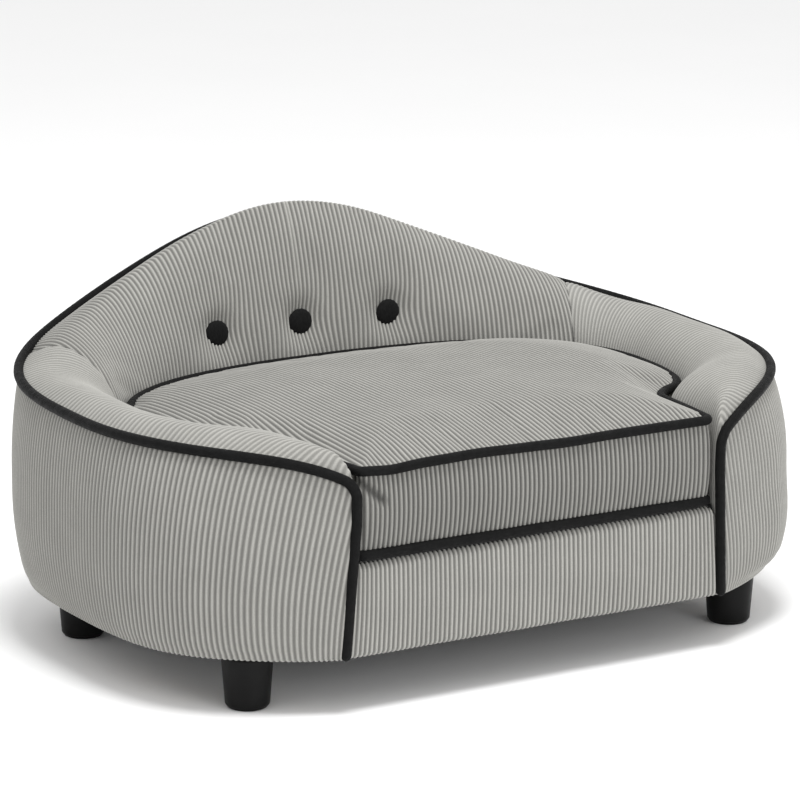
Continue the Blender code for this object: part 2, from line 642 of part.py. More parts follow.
def build_foot(place, x, y):
    plastic = material("foot_plastic", (0.015, 0.015, 0.016), 0.4)
    foot = [
        (0, 0), (FOOT_BOTTOM_RADIUS - 0.002, 0), (FOOT_BOTTOM_RADIUS, 0.002), (FOOT_TOP_RADIUS, FOOT_HEIGHT),
        (BOLT_RADIUS + GAP, FOOT_HEIGHT), (BOLT_RADIUS + GAP, BOLT_FOOT - 0.001), (0, BOLT_FOOT - 0.001),
    ]
    turned("foot_" + place, foot, (x, y, 0), plastic)
    bolt = [(0, BOLT_FOOT), (BOLT_RADIUS, BOLT_FOOT), (BOLT_RADIUS, BOLT_TOP), (0, BOLT_TOP)]
    turned("foot_bolt_" + place, bolt, (x, y, 0), steel("zinc"), sides=10)
    inside = BOLT_RADIUS + GAP
    nut = [
        (inside, BOARD_BOTTOM + 0.002), (NUT_BARREL, BOARD_BOTTOM + 0.002), (NUT_BARREL, BOARD_TOP + GAP),
        (NUT_FLANGE, BOARD_TOP + GAP), (NUT_FLANGE, BOARD_TOP + 0.0018), (inside, BOARD_TOP + 0.0018),
    ]
    angles = [2 * math.pi * k / 10 for k in range(10)]
    rings = [[(x + r * math.cos(a), y + r * math.sin(a), z) for r, z in nut] for a in angles]
    loft("tee_nut_" + place, rings, steel("zinc"), closed=True)


# ---- The loose cushion ------------------------------------------------------------------------------
CUSHION_CENTRE = (0.0, -0.045)
DOME_FACTORS = (1.0, 0.9, 0.66, 0.3)


def scaled(outline, factor):
    cx, cy = CUSHION_CENTRE
    return [(cx + (x - cx) * factor, cy + (y - cy) * factor) for x, y in outline]


def crown_height(factor, base, top):
    return base + (top - base) * math.sin(math.acos(min(1.0, factor))) ** 1.2


def dome_rings(outline, base, top):
    """Rings that shrink towards the cushion's middle while they rise from base towards top."""
    rings = []
    for factor in DOME_FACTORS:
        height = crown_height(factor, base, top)
        rings.append([(x, y, height) for x, y in scaled(outline, factor)])
    return rings


def build_cushion():
    low, high = CUSHION_PIPING_LOW, CUSHION_PIPING_HIGH
    grey = corduroy("corduroy_cushion")
    seam_inset = SEAT_CLEARANCE + CUSHION_PIPING_RADIUS
    seam = inner_outline(seam_inset, CUSHION_FRONT_Y)
    for name, height in (("cushion_top_piping", high), ("cushion_bottom_piping", low)):
        points = [(x, y, height) for x, y in seam]
        tube(name, points, CUSHION_PIPING_RADIUS, black_cloth("piping_cloth"), True)
    inside = inner_outline(seam_inset + CLOTH, CUSHION_FRONT_Y + CLOTH)
    reach = CUSHION_PIPING_RADIUS + GAP + 0.0004
    band = []
    for (out_x, out_y), (in_x, in_y) in zip(seam, inside):
        bottom, top = low + reach, high - reach
        band.append([(out_x, out_y, bottom), (out_x, out_y, top), (in_x, in_y, top), (in_x, in_y, bottom)])
    loft("cushion_boxing", band, grey, closed=True)
    rim_inset = seam_inset + CUSHION_PIPING_RADIUS + 0.0016
    rim_front = CUSHION_FRONT_Y + CUSHION_PIPING_RADIUS + 0.0016
    rim = inner_outline(rim_inset, rim_front)
    top_rings = dome_rings(rim, high + 0.001, CUSHION_CROWN)
    under_rings = dome_rings(rim, high + 0.001 - CLOTH, CUSHION_CROWN - CLOTH)
    sheet_between("cushion_top_cover", top_rings, under_rings, grey)
    core_outline = inner_outline(rim_inset + CLOTH, rim_front + CLOTH)
    floor = CUSHION_BOTTOM + CLOTH + CLOTH_GAP
    rings = [[(x, y, floor) for x, y in core_outline]]
    under = CLOTH + 0.0012
    rings += dome_rings(core_outline, high - under, CUSHION_CROWN - under - CLOTH_GAP)
    core = loft("cushion_core", rings, foam("fibre_fill"))
    base_cloth = black_cloth("cushion_base_cloth")
    bottom = slab("cushion_bottom_cover", rim, CUSHION_BOTTOM, CUSHION_BOTTOM + CLOTH, base_cloth)
    build_zip(core, bottom)


def sheet_between(name, top_rings, under_rings, made_of):
    """A closed sheet from two matching stacks of rings, the last ring of each being filled."""
    build = bmesh.new()
    tops = [[build.verts.new(p) for p in ring] for ring in top_rings]
    unders = [[build.verts.new(p) for p in ring] for ring in under_rings]
    count = len(tops[0])
    for stack in (tops, unders):
        for first, second in zip(stack, stack[1:]):
            for i in range(count):
                j = (i + 1) % count
                build.faces.new((first[i], first[j], second[j], second[i]))
        build.faces.new(stack[-1])
    for i in range(count):
        j = (i + 1) % count
        build.faces.new((tops[0][i], tops[0][j], unders[0][j], unders[0][i]))
    return add_object(name, build, made_of)


def build_zip(core, bottom):
    """A closed-end zip across the cushion's underside, set into a shallow channel."""
    spare = material("cutter", (1, 0, 0), 1)
    base = CUSHION_BOTTOM
    tape_low = base + ZIP_RECESS
    reach = ZIP_HALF_LENGTH
    channel = block("zip_channel", (-reach - 0.004, ZIP_Y - 0.012, base - 0.001),
                    (reach + 0.004, ZIP_Y + 0.012, tape_low + 0.003), spare)
    cut(core, channel)
    slot = block("zip_slot", (-reach, ZIP_Y - 0.006, base - 0.001),
                 (reach, ZIP_Y + 0.006, base + 0.01), spare)
    cut(bottom, slot)
    section = [
        (-0.010, tape_low), (-0.010, tape_low + 0.001), (0.010, tape_low + 0.001), (0.010, tape_low),
        (0.0022, tape_low), (0.0022, tape_low - 0.001), (-0.0022, tape_low - 0.001), (-0.0022, tape_low),
    ]
    rings = [[(x, ZIP_Y + y, z) for y, z in section] for x in (-reach, reach)]
    loft("zip_tape_and_coil", rings, black_cloth("zip_tape"))
    metal = steel("slider_metal")
    start = -reach + 0.006
    slider_top = tape_low - 0.001 - GAP
    block("zip_slider", (start, ZIP_Y - 0.0042, slider_top - 0.0026),
          (start + SLIDER_LENGTH, ZIP_Y + 0.0042, slider_top), metal)
    pull_start = start + SLIDER_LENGTH + GAP
    block("zip_pull", (pull_start, ZIP_Y - 0.003, slider_top - 0.0018),
          (pull_start + PULL_LENGTH, ZIP_Y + 0.003, slider_top - 0.0006), metal)


def main():
    for thing in list(bpy.data.objects):
        bpy.data.objects.remove(thing, do_unlink=True)
    build_base()
    build_wall()
    tube("edge_piping", edge_piping_points(), PIPING_RADIUS, black_cloth("piping_cloth"))
    build_cushion()


main()
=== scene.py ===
"""Looks of the pet sofa bed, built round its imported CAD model.

Metres, +Z up, -Y to the front, the frame of the CAD. The plan curves are the ones the CAD is drawn from,
sampled finely enough to carry every rib of the corduroy. So is the section of the wall, apart from the
front ends of its top line and the lower part of its outside, which are fuller here than in the CAD.
"""

import math

import bmesh
import bpy
import numpy as np
from mathutils import Matrix, Vector, noise


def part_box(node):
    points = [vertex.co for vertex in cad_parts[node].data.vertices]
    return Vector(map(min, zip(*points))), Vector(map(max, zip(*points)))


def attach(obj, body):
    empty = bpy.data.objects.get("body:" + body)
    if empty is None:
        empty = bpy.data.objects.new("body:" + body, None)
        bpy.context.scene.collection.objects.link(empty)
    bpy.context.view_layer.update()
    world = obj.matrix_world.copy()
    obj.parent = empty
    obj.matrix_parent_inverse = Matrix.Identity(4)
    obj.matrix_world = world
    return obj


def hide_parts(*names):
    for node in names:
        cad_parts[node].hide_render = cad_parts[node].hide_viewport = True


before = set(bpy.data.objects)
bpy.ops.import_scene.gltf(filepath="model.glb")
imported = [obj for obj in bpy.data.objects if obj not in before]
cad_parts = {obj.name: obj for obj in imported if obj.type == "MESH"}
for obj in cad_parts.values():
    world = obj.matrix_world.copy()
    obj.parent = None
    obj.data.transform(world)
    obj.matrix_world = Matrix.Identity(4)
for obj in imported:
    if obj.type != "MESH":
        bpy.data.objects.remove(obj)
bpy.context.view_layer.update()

# ---- Plan and section of the wall ----
HALF_WIDTH, WIDEST_Y = 0.331, -0.0097
BACK_REACH, BACK_POWER = 0.2395, 3.25
FRONT_REACH, FRONT_POWER = 0.248, 2.48
FRONT_HALF_WIDTH, EDGE_LEAN, LEAN_TOP = 0.1825, 0.008, 0.165
INNER_HALF_WIDTH, INNER_WIDEST_Y = 0.258, -0.0047
INNER_REACH, INNER_POWER = 0.166, 2.4
INNER_FRONT = [
    (0.258, -0.0047), (0.254, -0.0487), (0.243, -0.0887), (0.226, -0.1117),
    (0.206, -0.1237), (0.193, -0.1407), (0.188, -0.1787), (0.184, -0.2107), (0.182, -0.2277),
]
FRONT_Y, CUSHION_FRONT_Y = -0.2272, -0.2257
UNDERSIDE, DECK_TOP = 0.048, 0.129
ARM_HEIGHT, BACK_RISE, BACK_SPREAD = 0.2275, 0.105, 0.1575
FRONT_DROP, FRONT_RUN, CORNER_RADIUS = 0.030, 0.050, 0.0105
CROWN_RISE, CROWN_DEPTH, CROWN_POWER = 0.0125, 0.35, 1.15
TIP_CROWN_DEPTH = 0.50
FACE_TOP, BACK_LEAN = 0.190, 0.85
OUTER_BULGE, SHOULDER_BULGE = 0.0085, 0.0075
LOWER_TAPER, LOWER_ROUND, ROUND_HEIGHT = 0.012, 0.006, 0.020
PIPING_RADIUS, CUSHION_PIPING_RADIUS = 0.0045, 0.0043
CUSHION_PIPING_LOW, CUSHION_PIPING_HIGH, CUSHION_CROWN = 0.1355, 0.2075, 0.224
SEAT_CLEARANCE = 0.0022
SEAM_OUTER, SEAM_INNER = (0.284, 0.1713), (0.243, 0.0813)

# Shares and powers of the section, and how far each change of it reaches.
# Left is the length of the wall still ahead up to its front edge, and run the length from the back.
LEAN_REACH = 0.10  # how far back from the front edge the section leans with it
SHOULDER_LEFT, SHOULDER_REACH = 0.14, 0.09
COVER_TOP = 0.55  # the outer cloth starts this share of the piping's radius below its middle
STEEPNESS, STEEP_REACH = 1.1, 0.02  # and lower still near the front edge
ROW_CROWDING = 1.15  # the rows of points lie closer together near the piping
FULL_WIDTH, CROWN_WIDTH = 0.08, 0.045  # narrower stretches of the wall are stuffed less
SWELL_SHARE, SWELL_POWER, TAPER_SHARE = 0.45, 0.8, 0.42
PINCH_DEPTH, PINCH_REACH = 0.0022, 0.006  # the cloth draws in beside the piping
COVER_DEPTH, FOLD_RADIUS, HEM_WIDTH = 0.0012, 0.004, 0.012
RIGHT_FULL = 0.0035  # the right arm's outside is stuffed fuller low down
RIGHT_FULL_HEIGHT, RIGHT_FULL_REACH = 0.086, 0.033
RIGHT_TAPER, RIGHT_ROUND = 0.007, 0.020  # and turns under in a rounder curve
RIGHT_RUN = 0.3  # the change from left to right is complete this far from the middle of the back
RIGHT_DROP = 0.004  # its front end is pulled down further than the left one's
TIP_RISE, TIP_RISE_LEFT, TIP_RISE_REACH = 0.008, 0.019, 0.020  # the pads stay full near the front
TIP_START, TIP_CROWN_REACH = 0.005, 0.07
TIP_TUCK, TIP_TUCK_REACH = 0.016, 0.012  # their cloth goes down behind the front panel's corners
ARM_CROWN_FALL = 0.0055  # ahead of the arm seam the arm pads sink back to the piping
ARM_FALL_RUN, ARM_FALL_REACH = 0.05, 0.06
BACK_ROUND, FACE_DROP, BACK_FACE_DROP, FACE_ROWS = 0.6, 0.03, 0.02, 6

# ---- Corduroy ----
RIB_HEIGHT = 0.0013
ARM_RIB_HEIGHT = 0.0008  # pulled tight over the arms, the ribs lie flatter
RIB_STEPS = np.arange(8) / 8  # samples across one rib
WRAP_PITCH, FRONT_PITCH, PAD_PITCH, CUSHION_PITCH = 0.0049, 0.0046, 0.0048, 0.0046


def stacked(*parts):
    """Arrays or numbers of shapes that fit each other, joined along a new last axis."""
    return np.stack(np.broadcast_arrays(*parts), axis=-1)


def full_turn(sides):
    return 2 * np.pi * np.arange(sides) / sides


def unit(values):
    return np.clip(values, 0, 1)


def near(value, place, reach):
    """1 at a place and falling to 0 beyond its reach."""
    return np.exp(-(((value - place) / reach) ** 2))


def spline(a, b, c, d, t):
    """Catmull-Rom curve from b to c, with t from 0 to 1."""
    square, cube = 2 * a - 5 * b + 4 * c - d, 3 * b - a - 3 * c + d
    return (2 * b + (c - a) * t + square * t**2 + cube * t**3) / 2


def superellipse(half_width, reach, power, centre_y, start, end, count):
    angles = np.radians(np.linspace(start, end, count))
    c, s = np.cos(angles), np.sin(angles)
    x = half_width * np.copysign(np.abs(c) ** (2 / power), c)
    y = centre_y + reach * np.copysign(np.abs(s) ** (2 / power), s)
    return stacked(x, y)


def smooth_through(points, steps):
    """A smooth curve through points, each span in the given number of steps."""
    points = np.array(points)
    known = np.array([2 * points[0] - points[1], *points, 2 * points[-1] - points[-2]])
    spans = zip(known, known[1:], known[2:], known[3:])
    made = [spline(*span, t) for span in spans for t in np.arange(steps) / steps]
    return np.array([*made, known[-2]])


def lengths_along(points):
    steps = np.linalg.norm(np.diff(points, axis=0), axis=1)
    return np.concatenate([[0.0], np.cumsum(steps)])


def directions(path, closed=False):
    """Unit tangents of a path."""
    ahead, behind = np.roll(path, -1, axis=0), np.roll(path, 1, axis=0)
    tangent = ahead - behind if closed else np.gradient(path, axis=0)
    return tangent / np.linalg.norm(tangent, axis=1)[:, None]


def point_at(points, lengths, distance):
    return np.stack([np.interp(distance, lengths, points[:, k]) for k in range(points.shape[1])], axis=-1)


def nearest_length(points, lengths, target):
    return lengths[np.argmin(np.linalg.norm(points - np.array(target), axis=1))]


OUTER_BACK = superellipse(HALF_WIDTH, BACK_REACH, BACK_POWER, WIDEST_Y, 90, 0, 400)
OUTER_FRONT = superellipse(HALF_WIDTH, FRONT_REACH, FRONT_POWER, WIDEST_Y, 0, -90, 400)[1:]
OUTER = np.concatenate([OUTER_BACK, OUTER_FRONT[OUTER_FRONT[:, 0] >= FRONT_HALF_WIDTH]])
INNER_BACK = superellipse(INNER_HALF_WIDTH, INNER_REACH, INNER_POWER, INNER_WIDEST_Y, 90, 0, 400)
INNER = np.concatenate([INNER_BACK[:-1], smooth_through(INNER_FRONT, 24)])
OUTER_LENGTHS, INNER_LENGTHS = lengths_along(OUTER), lengths_along(INNER)
HALF_RUN = OUTER_LENGTHS[-1]
MATCHES = [
    (OUTER[0], INNER[0]), (SEAM_OUTER, SEAM_INNER), ((0.331, -0.0097), (0.258, -0.0047)),
    ((0.307, -0.1287), (0.243, -0.0887)), ((0.277, -0.1747), (0.200, -0.1297)),
    ((0.236, -0.2077), (0.187, -0.1837)), (OUTER[-1], INNER[-1]),
]
OUTER_MARKS = [nearest_length(OUTER, OUTER_LENGTHS, outer) for outer, _ in MATCHES]
INNER_MARKS = [nearest_length(INNER, INNER_LENGTHS, inner) for _, inner in MATCHES]
SEAM_RUN = OUTER_MARKS[1]


def front_lean(height):
    return EDGE_LEAN * unit((LEAN_TOP - height) / (LEAN_TOP - UNDERSIDE))


def smooth_marks(run):
    """Length along the inner curve that matches a run, with the corners of the table rounded off."""
    spread, blend = 0.012, 0.05
    around = [np.abs(run + k * spread) for k in (-1, -0.5, 0, 0.5, 1)]
    nearby = [np.interp(place, OUTER_MARKS, INNER_MARKS) for place in around]
    ends = np.minimum(np.abs(run), HALF_RUN - np.abs(run))
    share = unit(ends / blend)
    return share * np.mean(nearby, axis=0) + (1 - share) * nearby[2]


class Sections:
    """Upright section planes of the wall at an array of runs, all worked out at once."""

    def __init__(self, runs):
        self.side = np.sign(runs) + (runs == 0)
        self.run = np.abs(runs)
        self.left = HALF_RUN - self.run
        self.mirror = stacked(self.side, 1.0)
        self.outer = point_at(OUTER, OUTER_LENGTHS, self.run) * self.mirror
        self.inner = point_at(INNER, INNER_LENGTHS, smooth_marks(self.run)) * self.mirror
        self.width = np.linalg.norm(self.inner - self.outer, axis=1)
        self.inward = (self.inner - self.outer) / self.width[:, None]
        fall = (FRONT_DROP + RIGHT_DROP * (self.side > 0)) * np.exp(-self.left / FRONT_RUN)
        corner = np.clip(CORNER_RADIUS - self.left, 0, CORNER_RADIUS)
        fall += CORNER_RADIUS - np.sqrt(CORNER_RADIUS**2 - corner**2)
        self.rise = np.exp(-((self.run / BACK_SPREAD) ** 2) / 2)
        self.piping = ARM_HEIGHT + BACK_RISE * self.rise - fall

    def place(self, depth, height):
        """Points (section, row, 3) for arrays of depth and height given per section and row."""
        lean = front_lean(height) * np.exp(-self.left / LEAN_REACH)[:, None]
        outer = point_at(OUTER, OUTER_LENGTHS, self.run[:, None] - lean) * self.mirror[:, None, :]
        flat = outer + self.inward[:, None, :] * depth[:, :, None]
        return np.concatenate([flat, height[:, :, None]], axis=2)

    def wall(self, rows):
        """Outer face from under the piping down and round the bottom edge to the hem below the board."""
        steep = 1 + STEEPNESS * np.exp(-self.left / STEEP_REACH)
        top = self.piping - PIPING_RADIUS * COVER_TOP * steep
        share_down = np.linspace(0, 1, rows) ** ROW_CROWDING
        height = top[:, None] + (UNDERSIDE + FOLD_RADIUS - top)[:, None] * share_down
        share = (height - UNDERSIDE) / (self.piping - UNDERSIDE)[:, None]
        fullness = np.minimum(1.0, self.width / FULL_WIDTH)[:, None]
        bulge = OUTER_BULGE + SHOULDER_BULGE * near(self.left, SHOULDER_LEFT, SHOULDER_REACH)[:, None]
        swell = np.sin(np.pi / 2 * unit((1 - share) / SWELL_SHARE)) ** SWELL_POWER
        turn = unit(1 - (height - UNDERSIDE) / ROUND_HEIGHT)
        rightness = unit(self.side * self.run / RIGHT_RUN)[:, None]
        taper = LOWER_TAPER + (RIGHT_TAPER - LOWER_TAPER) * rightness
        rounding = LOWER_ROUND + (RIGHT_ROUND - LOWER_ROUND) * rightness
        under = taper * unit(1 - share / TAPER_SHARE) ** 2 + rounding * (1 - np.sqrt(1 - turn**2))
        under -= RIGHT_FULL * rightness**2 * near(height, RIGHT_FULL_HEIGHT, RIGHT_FULL_REACH)
        depth = fullness * (under - bulge * swell)
        pinch = np.exp(-(top[:, None] - height) / PINCH_REACH) * fullness
        depth = depth + PINCH_DEPTH * pinch + COVER_DEPTH
        turn = np.radians(np.array([30, 60, 90]))
        under_depth = depth[:, -1:] + FOLD_RADIUS * (1 - np.cos(turn))
        under_height = UNDERSIDE + FOLD_RADIUS * (1 - np.sin(turn)) + 0 * under_depth
        hem = np.minimum(HEM_WIDTH, np.maximum(0.003, self.width - HEM_WIDTH))[:, None]
        depth = np.concatenate([depth, under_depth, under_depth[:, -1:] + hem], axis=1)
        height = np.concatenate([height, under_height, under_height[:, -1:]], axis=1)
        return depth, height

    def pad(self, rows_up, rows_down):
        """Padded face, from beside the piping over the crown down to the deck."""
        crown = self.piping + CROWN_RISE * np.minimum(1.0, self.width / CROWN_WIDTH)
        tip_bump = near(self.left, TIP_RISE_LEFT, TIP_RISE_REACH) * unit(self.left / TIP_START)
        crown = crown + TIP_RISE * tip_bump
        crown = crown - ARM_CROWN_FALL * near(self.run - SEAM_RUN, ARM_FALL_RUN, ARM_FALL_REACH)
        tip = near(self.left, 0, TIP_CROWN_REACH)
        crown_depth = (CROWN_DEPTH + (TIP_CROWN_DEPTH - CROWN_DEPTH) * tip) * self.width
        start_depth, start_height = 0.0015 + 0 * crown, self.piping - 0.0005
        t = np.linspace(0, 1, rows_up)[None, :]
        bend = np.sin(t * np.pi / 2)
        depth_up = start_depth[:, None] + (crown_depth - start_depth)[:, None] * t
        height_up = start_height[:, None] + (crown - start_height)[:, None] * bend**CROWN_POWER
        power_depth, power_height = 2 - BACK_LEAN * self.rise, 2 - BACK_ROUND * self.rise
        foot = np.minimum(FACE_TOP, self.piping - FACE_DROP) - BACK_FACE_DROP * self.rise
        angles = np.radians(np.linspace(90, 0, rows_down + 1)[1:])[None, :]
        c, s = np.cos(angles) ** (2 / power_depth)[:, None], np.sin(angles) ** (2 / power_height)[:, None]
        depth_down = crown_depth[:, None] + (self.width - crown_depth)[:, None] * c
        height_down = foot[:, None] + (crown - foot)[:, None] * s
        below = np.linspace(0, 1, FACE_ROWS + 1)[1:][None, :]
        depth_face = self.width[:, None] + 0 * below
        base = DECK_TOP + 0.0005 - TIP_TUCK * near(self.left, 0, TIP_TUCK_REACH)
        height_face = foot[:, None] + (base - foot)[:, None] * below
        depth = np.concatenate([depth_up, depth_down, depth_face], axis=1)
        height = np.concatenate([height_up, height_down, height_face], axis=1)
        return depth, height


# ---- Ribs ----
def rib_columns(start, end, pitch, offset=0.0):
    """Places of the mesh columns from start to end, several to a rib, and each one's phase in its rib."""
    first, last = math.floor(start / pitch - offset), math.ceil(end / pitch - offset)
    phases = np.concatenate([number + RIB_STEPS for number in range(first, last + 1)])
    places = (phases + offset) * pitch
    keep = (places > start + pitch * 0.03) & (places < end - pitch * 0.03)
    places, phases = places[keep], phases[keep]
    places = np.concatenate([[start], places, [end]])
    phases = np.concatenate([[start / pitch - offset], phases, [end / pitch - offset]])
    return places, phases


def rib_profile(phase):
    """0 in the groove and 1 on the ridge; the grooves are as wide as the ridges."""
    return (0.5 - 0.5 * np.cos(2 * np.pi * phase)) ** 0.9


def normals_of(points):
    along, across = np.gradient(points, axis=0), np.gradient(points, axis=1)
    normal = np.cross(along, across)
    length = np.linalg.norm(normal, axis=2, keepdims=True)
    return normal / np.maximum(length, 1e-12)


def facing(points, row, direction):
    """1 where the normals of a grid's middle column look along the direction, and -1 against it."""
    return 1 if normals_of(points)[len(points) // 2, row] @ np.array(direction) > 0 else -1


def raise_ribs(points, phase, outward, height=RIB_HEIGHT):
    """Lifts the ridges of a grid along its normals; outward is +1 or -1, the side that shows."""
    profile = rib_profile(phase)
    return points + normals_of(points) * (outward * height * (profile - 0.5))[:, :, None], profile


def cloth_swell(points, size, height, seed):
    """Slow, shallow unevenness of hand-pulled cloth, the same on every run."""
    shift = Vector((seed * 3.1, seed * 1.7, seed * 2.3))
    coarse = [noise.noise(Vector(p) / size + shift) for p in points.reshape(-1, 3)]
    return np.array(coarse).reshape(points.shape[:2]) * height


# ---- Cloth simulation ----
FRAMES = 20
MOST_MOVED = 0.004  # no point of the cloth may leave the modelled shape by more than this
CLOTH_SETTINGS = {
    "quality": 7, "mass": 0.15, "tension_stiffness": 25, "compression_stiffness": 25,
    "shear_stiffness": 12, "bending_stiffness": 0.8, "vertex_group_mass": "held", "use_pressure": True,
}


def relaxed(points, held, pressure, slack):
    """How far a grid of points (rows, columns, 3) moves as cloth over a soft filling.

    Points where held is 1 stay put. The filling pushes with the given pressure along the grid's normals,
    and slack is the share by which the cloth is larger than the shape it is sewn to.
    """
    rows, columns = points.shape[:2]
    build = mesh_object("cloth_trial", points.reshape(-1, 3), (grid_quads(rows, columns), []), None)
    group = build.vertex_groups.new(name="held")
    for weight in np.unique(np.round(held, 1)):
        chosen = np.flatnonzero(np.round(held, 1).ravel() == weight)
        group.add([int(k) for k in chosen], float(weight), "REPLACE")
    row, column = rows // 2, columns // 2
    face_normal = np.array(build.data.polygons[row * (columns - 1) + column].normal)
    same_way = np.sign(face_normal @ normals_of(points)[row, column])
    cloth = build.modifiers.new("cloth", "CLOTH")
    settings = cloth.settings
    for key, value in CLOTH_SETTINGS.items():
        setattr(settings, key, value)
    settings.uniform_pressure_force = pressure * same_way
    settings.shrink_min = -slack
    settings.effector_weights.gravity = 0
    cloth.point_cache.frame_start, cloth.point_cache.frame_end = 1, FRAMES
    for number in range(1, FRAMES + 1):
        bpy.context.scene.frame_set(number)
    evaluated = build.evaluated_get(bpy.context.evaluated_depsgraph_get())
    moved = np.empty(len(build.data.vertices) * 3, np.float32)
    evaluated.data.vertices.foreach_get("co", moved)
    bpy.data.objects.remove(build, do_unlink=True)
    bpy.context.scene.frame_set(1)
    shift = moved.reshape(points.shape) - points
    length = np.linalg.norm(shift, axis=2, keepdims=True)
    return shift * np.minimum(1, MOST_MOVED / np.maximum(length, 1e-9))


def catmull(places, values, wanted):
    """Smooth interpolation of values (n, ...) known at even places."""
    step = (places[-1] - places[0]) / (len(places) - 1)
    at = np.clip((wanted - places[0]) / step, 0, len(places) - 1 - 1e-9)
    base = at.astype(int)
    t = (at - base).reshape(-1, *([1] * (values.ndim - 1)))
    last = len(places) - 1
    a, b = values[np.maximum(base - 1, 0)], values[base]
    c, d = values[base + 1], values[np.minimum(base + 2, last)]
    return spline(a, b, c, d, t)


def straight(places, values, wanted):
    """Straight-line interpolation of values (n, ...) known at any places."""
    lines = values.reshape(len(places), -1).T
    spread = np.stack([np.interp(wanted, places, line) for line in lines], axis=1)
    return spread.reshape(len(wanted), *values.shape[1:])


def settled(grid, held, columns, rows, pressure, slack=0.0, between=catmull):
    """The grid as cloth, simulated only on the given columns and rows and carried over to the rest.

    The rim is held, and so is every point where held is 1.
    """
    coarse_held = held[np.ix_(columns, rows)]
    coarse_held[[0, -1]], coarse_held[:, [0, -1]] = 1, 1
    shift = relaxed(grid[np.ix_(columns, rows)], coarse_held, pressure, slack)
    along = straight(columns, shift, np.arange(grid.shape[0]))
    return grid + between(rows, along.transpose(1, 0, 2), np.arange(grid.shape[1])).transpose(1, 0, 2)


# ---- Meshes ----
CORD_FINE, CORD_SLOW = 0.018, 0.012  # shares by which a covered cord's radius wavers


def mesh_object(name, vertices, faces, material, values=None):
    """An object from arrays: quads (n, 4), plus any number of n-gons given as lists."""
    quads, others = faces
    mesh = bpy.data.meshes.new(name)
    counts = [4] * len(quads) + [len(face) for face in others]
    loops = np.concatenate([np.ravel(quads), *[np.array(face) for face in others]]).astype(np.int32)
    mesh.vertices.add(len(vertices))
    mesh.vertices.foreach_set("co", np.ravel(vertices).astype(np.float32))
    mesh.loops.add(len(loops))
    mesh.loops.foreach_set("vertex_index", loops)
    mesh.polygons.add(len(counts))
    starts = np.concatenate([[0], np.cumsum(counts)[:-1]]).astype(np.int32)
    mesh.polygons.foreach_set("loop_start", starts)
    mesh.polygons.foreach_set("loop_total", np.array(counts, np.int32))
    mesh.update(calc_edges=True)
    mesh.validate()
    for key, value in (values or {}).items():
        attribute = mesh.attributes.new(key, "FLOAT", "POINT")
        attribute.data.foreach_set("value", np.ravel(value).astype(np.float32))
    if material:
        mesh.materials.append(material)
    mesh.shade_smooth()
    made = bpy.data.objects.new(name, mesh)
    bpy.context.scene.collection.objects.link(made)
    turn_outward(made)
    return made


def turn_outward(made):
    build = bmesh.new()
    build.from_mesh(made.data)
    bmesh.ops.recalc_face_normals(build, faces=build.faces)
    build.to_mesh(made.data)
    build.free()


def grid_quads(rows, columns, wrap_rows=False, wrap_columns=False):
    index = np.arange(rows * columns).reshape(rows, columns)
    if wrap_rows:
        index = np.concatenate([index, index[:1]], axis=0)
    if wrap_columns:
        index = np.concatenate([index, index[:, :1]], axis=1)
    return stacked(index[:-1, :-1], index[1:, :-1], index[1:, 1:], index[:-1, 1:]).reshape(-1, 4)


def ring_body(name, parts, material, values=None, closed=False):
    """A body from one or more sets of rings (count, points, 3), each capped at its open ends."""
    quads, caps, start = [], [], 0
    for count, points, _ in (rings.shape for rings in parts):
        last = start + (count - 1) * points
        quads.append(grid_quads(count, points, wrap_rows=closed, wrap_columns=True) + start)
        if not closed:
            caps += [list(range(start, start + points)), list(range(last, last + points))[::-1]]
        start += count * points
    vertices = np.concatenate([rings.reshape(-1, 3) for rings in parts])
    return mesh_object(name, vertices, (np.concatenate(quads), caps), material, values)


def swept(name, rings, material, rib_shading=None, closed=False):
    """A body of cloth: the rib values given say how high the first points of each ring stand, and the
    corduroy paints shade into the grooves from them; the rest is plain.
    """
    whole = np.zeros(rings.shape[:2])
    if rib_shading is not None:
        whole[:, : rib_shading.shape[1]] = rib_shading
    return ring_body(name, [rings], material, {"rib_shading": whole}, closed)


def tube(name, path, radius, material, closed=False, sides=14):
    """Fabric-covered cord along a dense path, slightly uneven, with rounded ends."""
    tangent = directions(path, closed)
    normal = np.zeros_like(path)
    start = np.array([0.0, 0.0, 1.0]) if abs(tangent[0][2]) < 0.8 else np.array([1.0, 0.0, 0.0])
    for k, direction in enumerate(tangent):
        start = start - direction * (start @ direction)
        start /= np.linalg.norm(start)
        normal[k] = start
    side = np.cross(tangent, normal)
    angles = full_turn(sides)
    run = lengths_along(path)
    fine, slow = np.sin(run * 900) * np.sin(run * 137 + 1), np.sin(run * 61)
    uneven = 1 + CORD_FINE * fine + CORD_SLOW * slow
    if not closed:
        ends = np.minimum(run, run[-1] - run) / radius
        uneven = uneven * np.sqrt(unit(1 - np.clip(1 - ends, 0, 0.97) ** 2))
    c, s = np.cos(angles)[None, :, None], np.sin(angles)[None, :, None]
    around = normal[:, None, :] * c + side[:, None, :] * s
    rings = path[:, None, :] + around * (radius * uneven)[:, None, None]
    values = {"along": np.repeat(run, sides), "around": np.tile(angles, len(path))}
    return ring_body(name, [rings], material, values, closed)


def turned(name, profile, centre, material, sides=48):
    """A body of revolution about an upright axis, from (radius, height) points."""
    angles = full_turn(sides)
    radius, height = np.array(profile)[:, :1], np.array(profile)[:, 1:]
    rings = stacked(radius * np.cos(angles), radius * np.sin(angles), height)
    made = ring_body(name, [rings + np.array(centre)], material)
    made.data.set_sharp_from_angle(angle=math.radians(40))
    return made


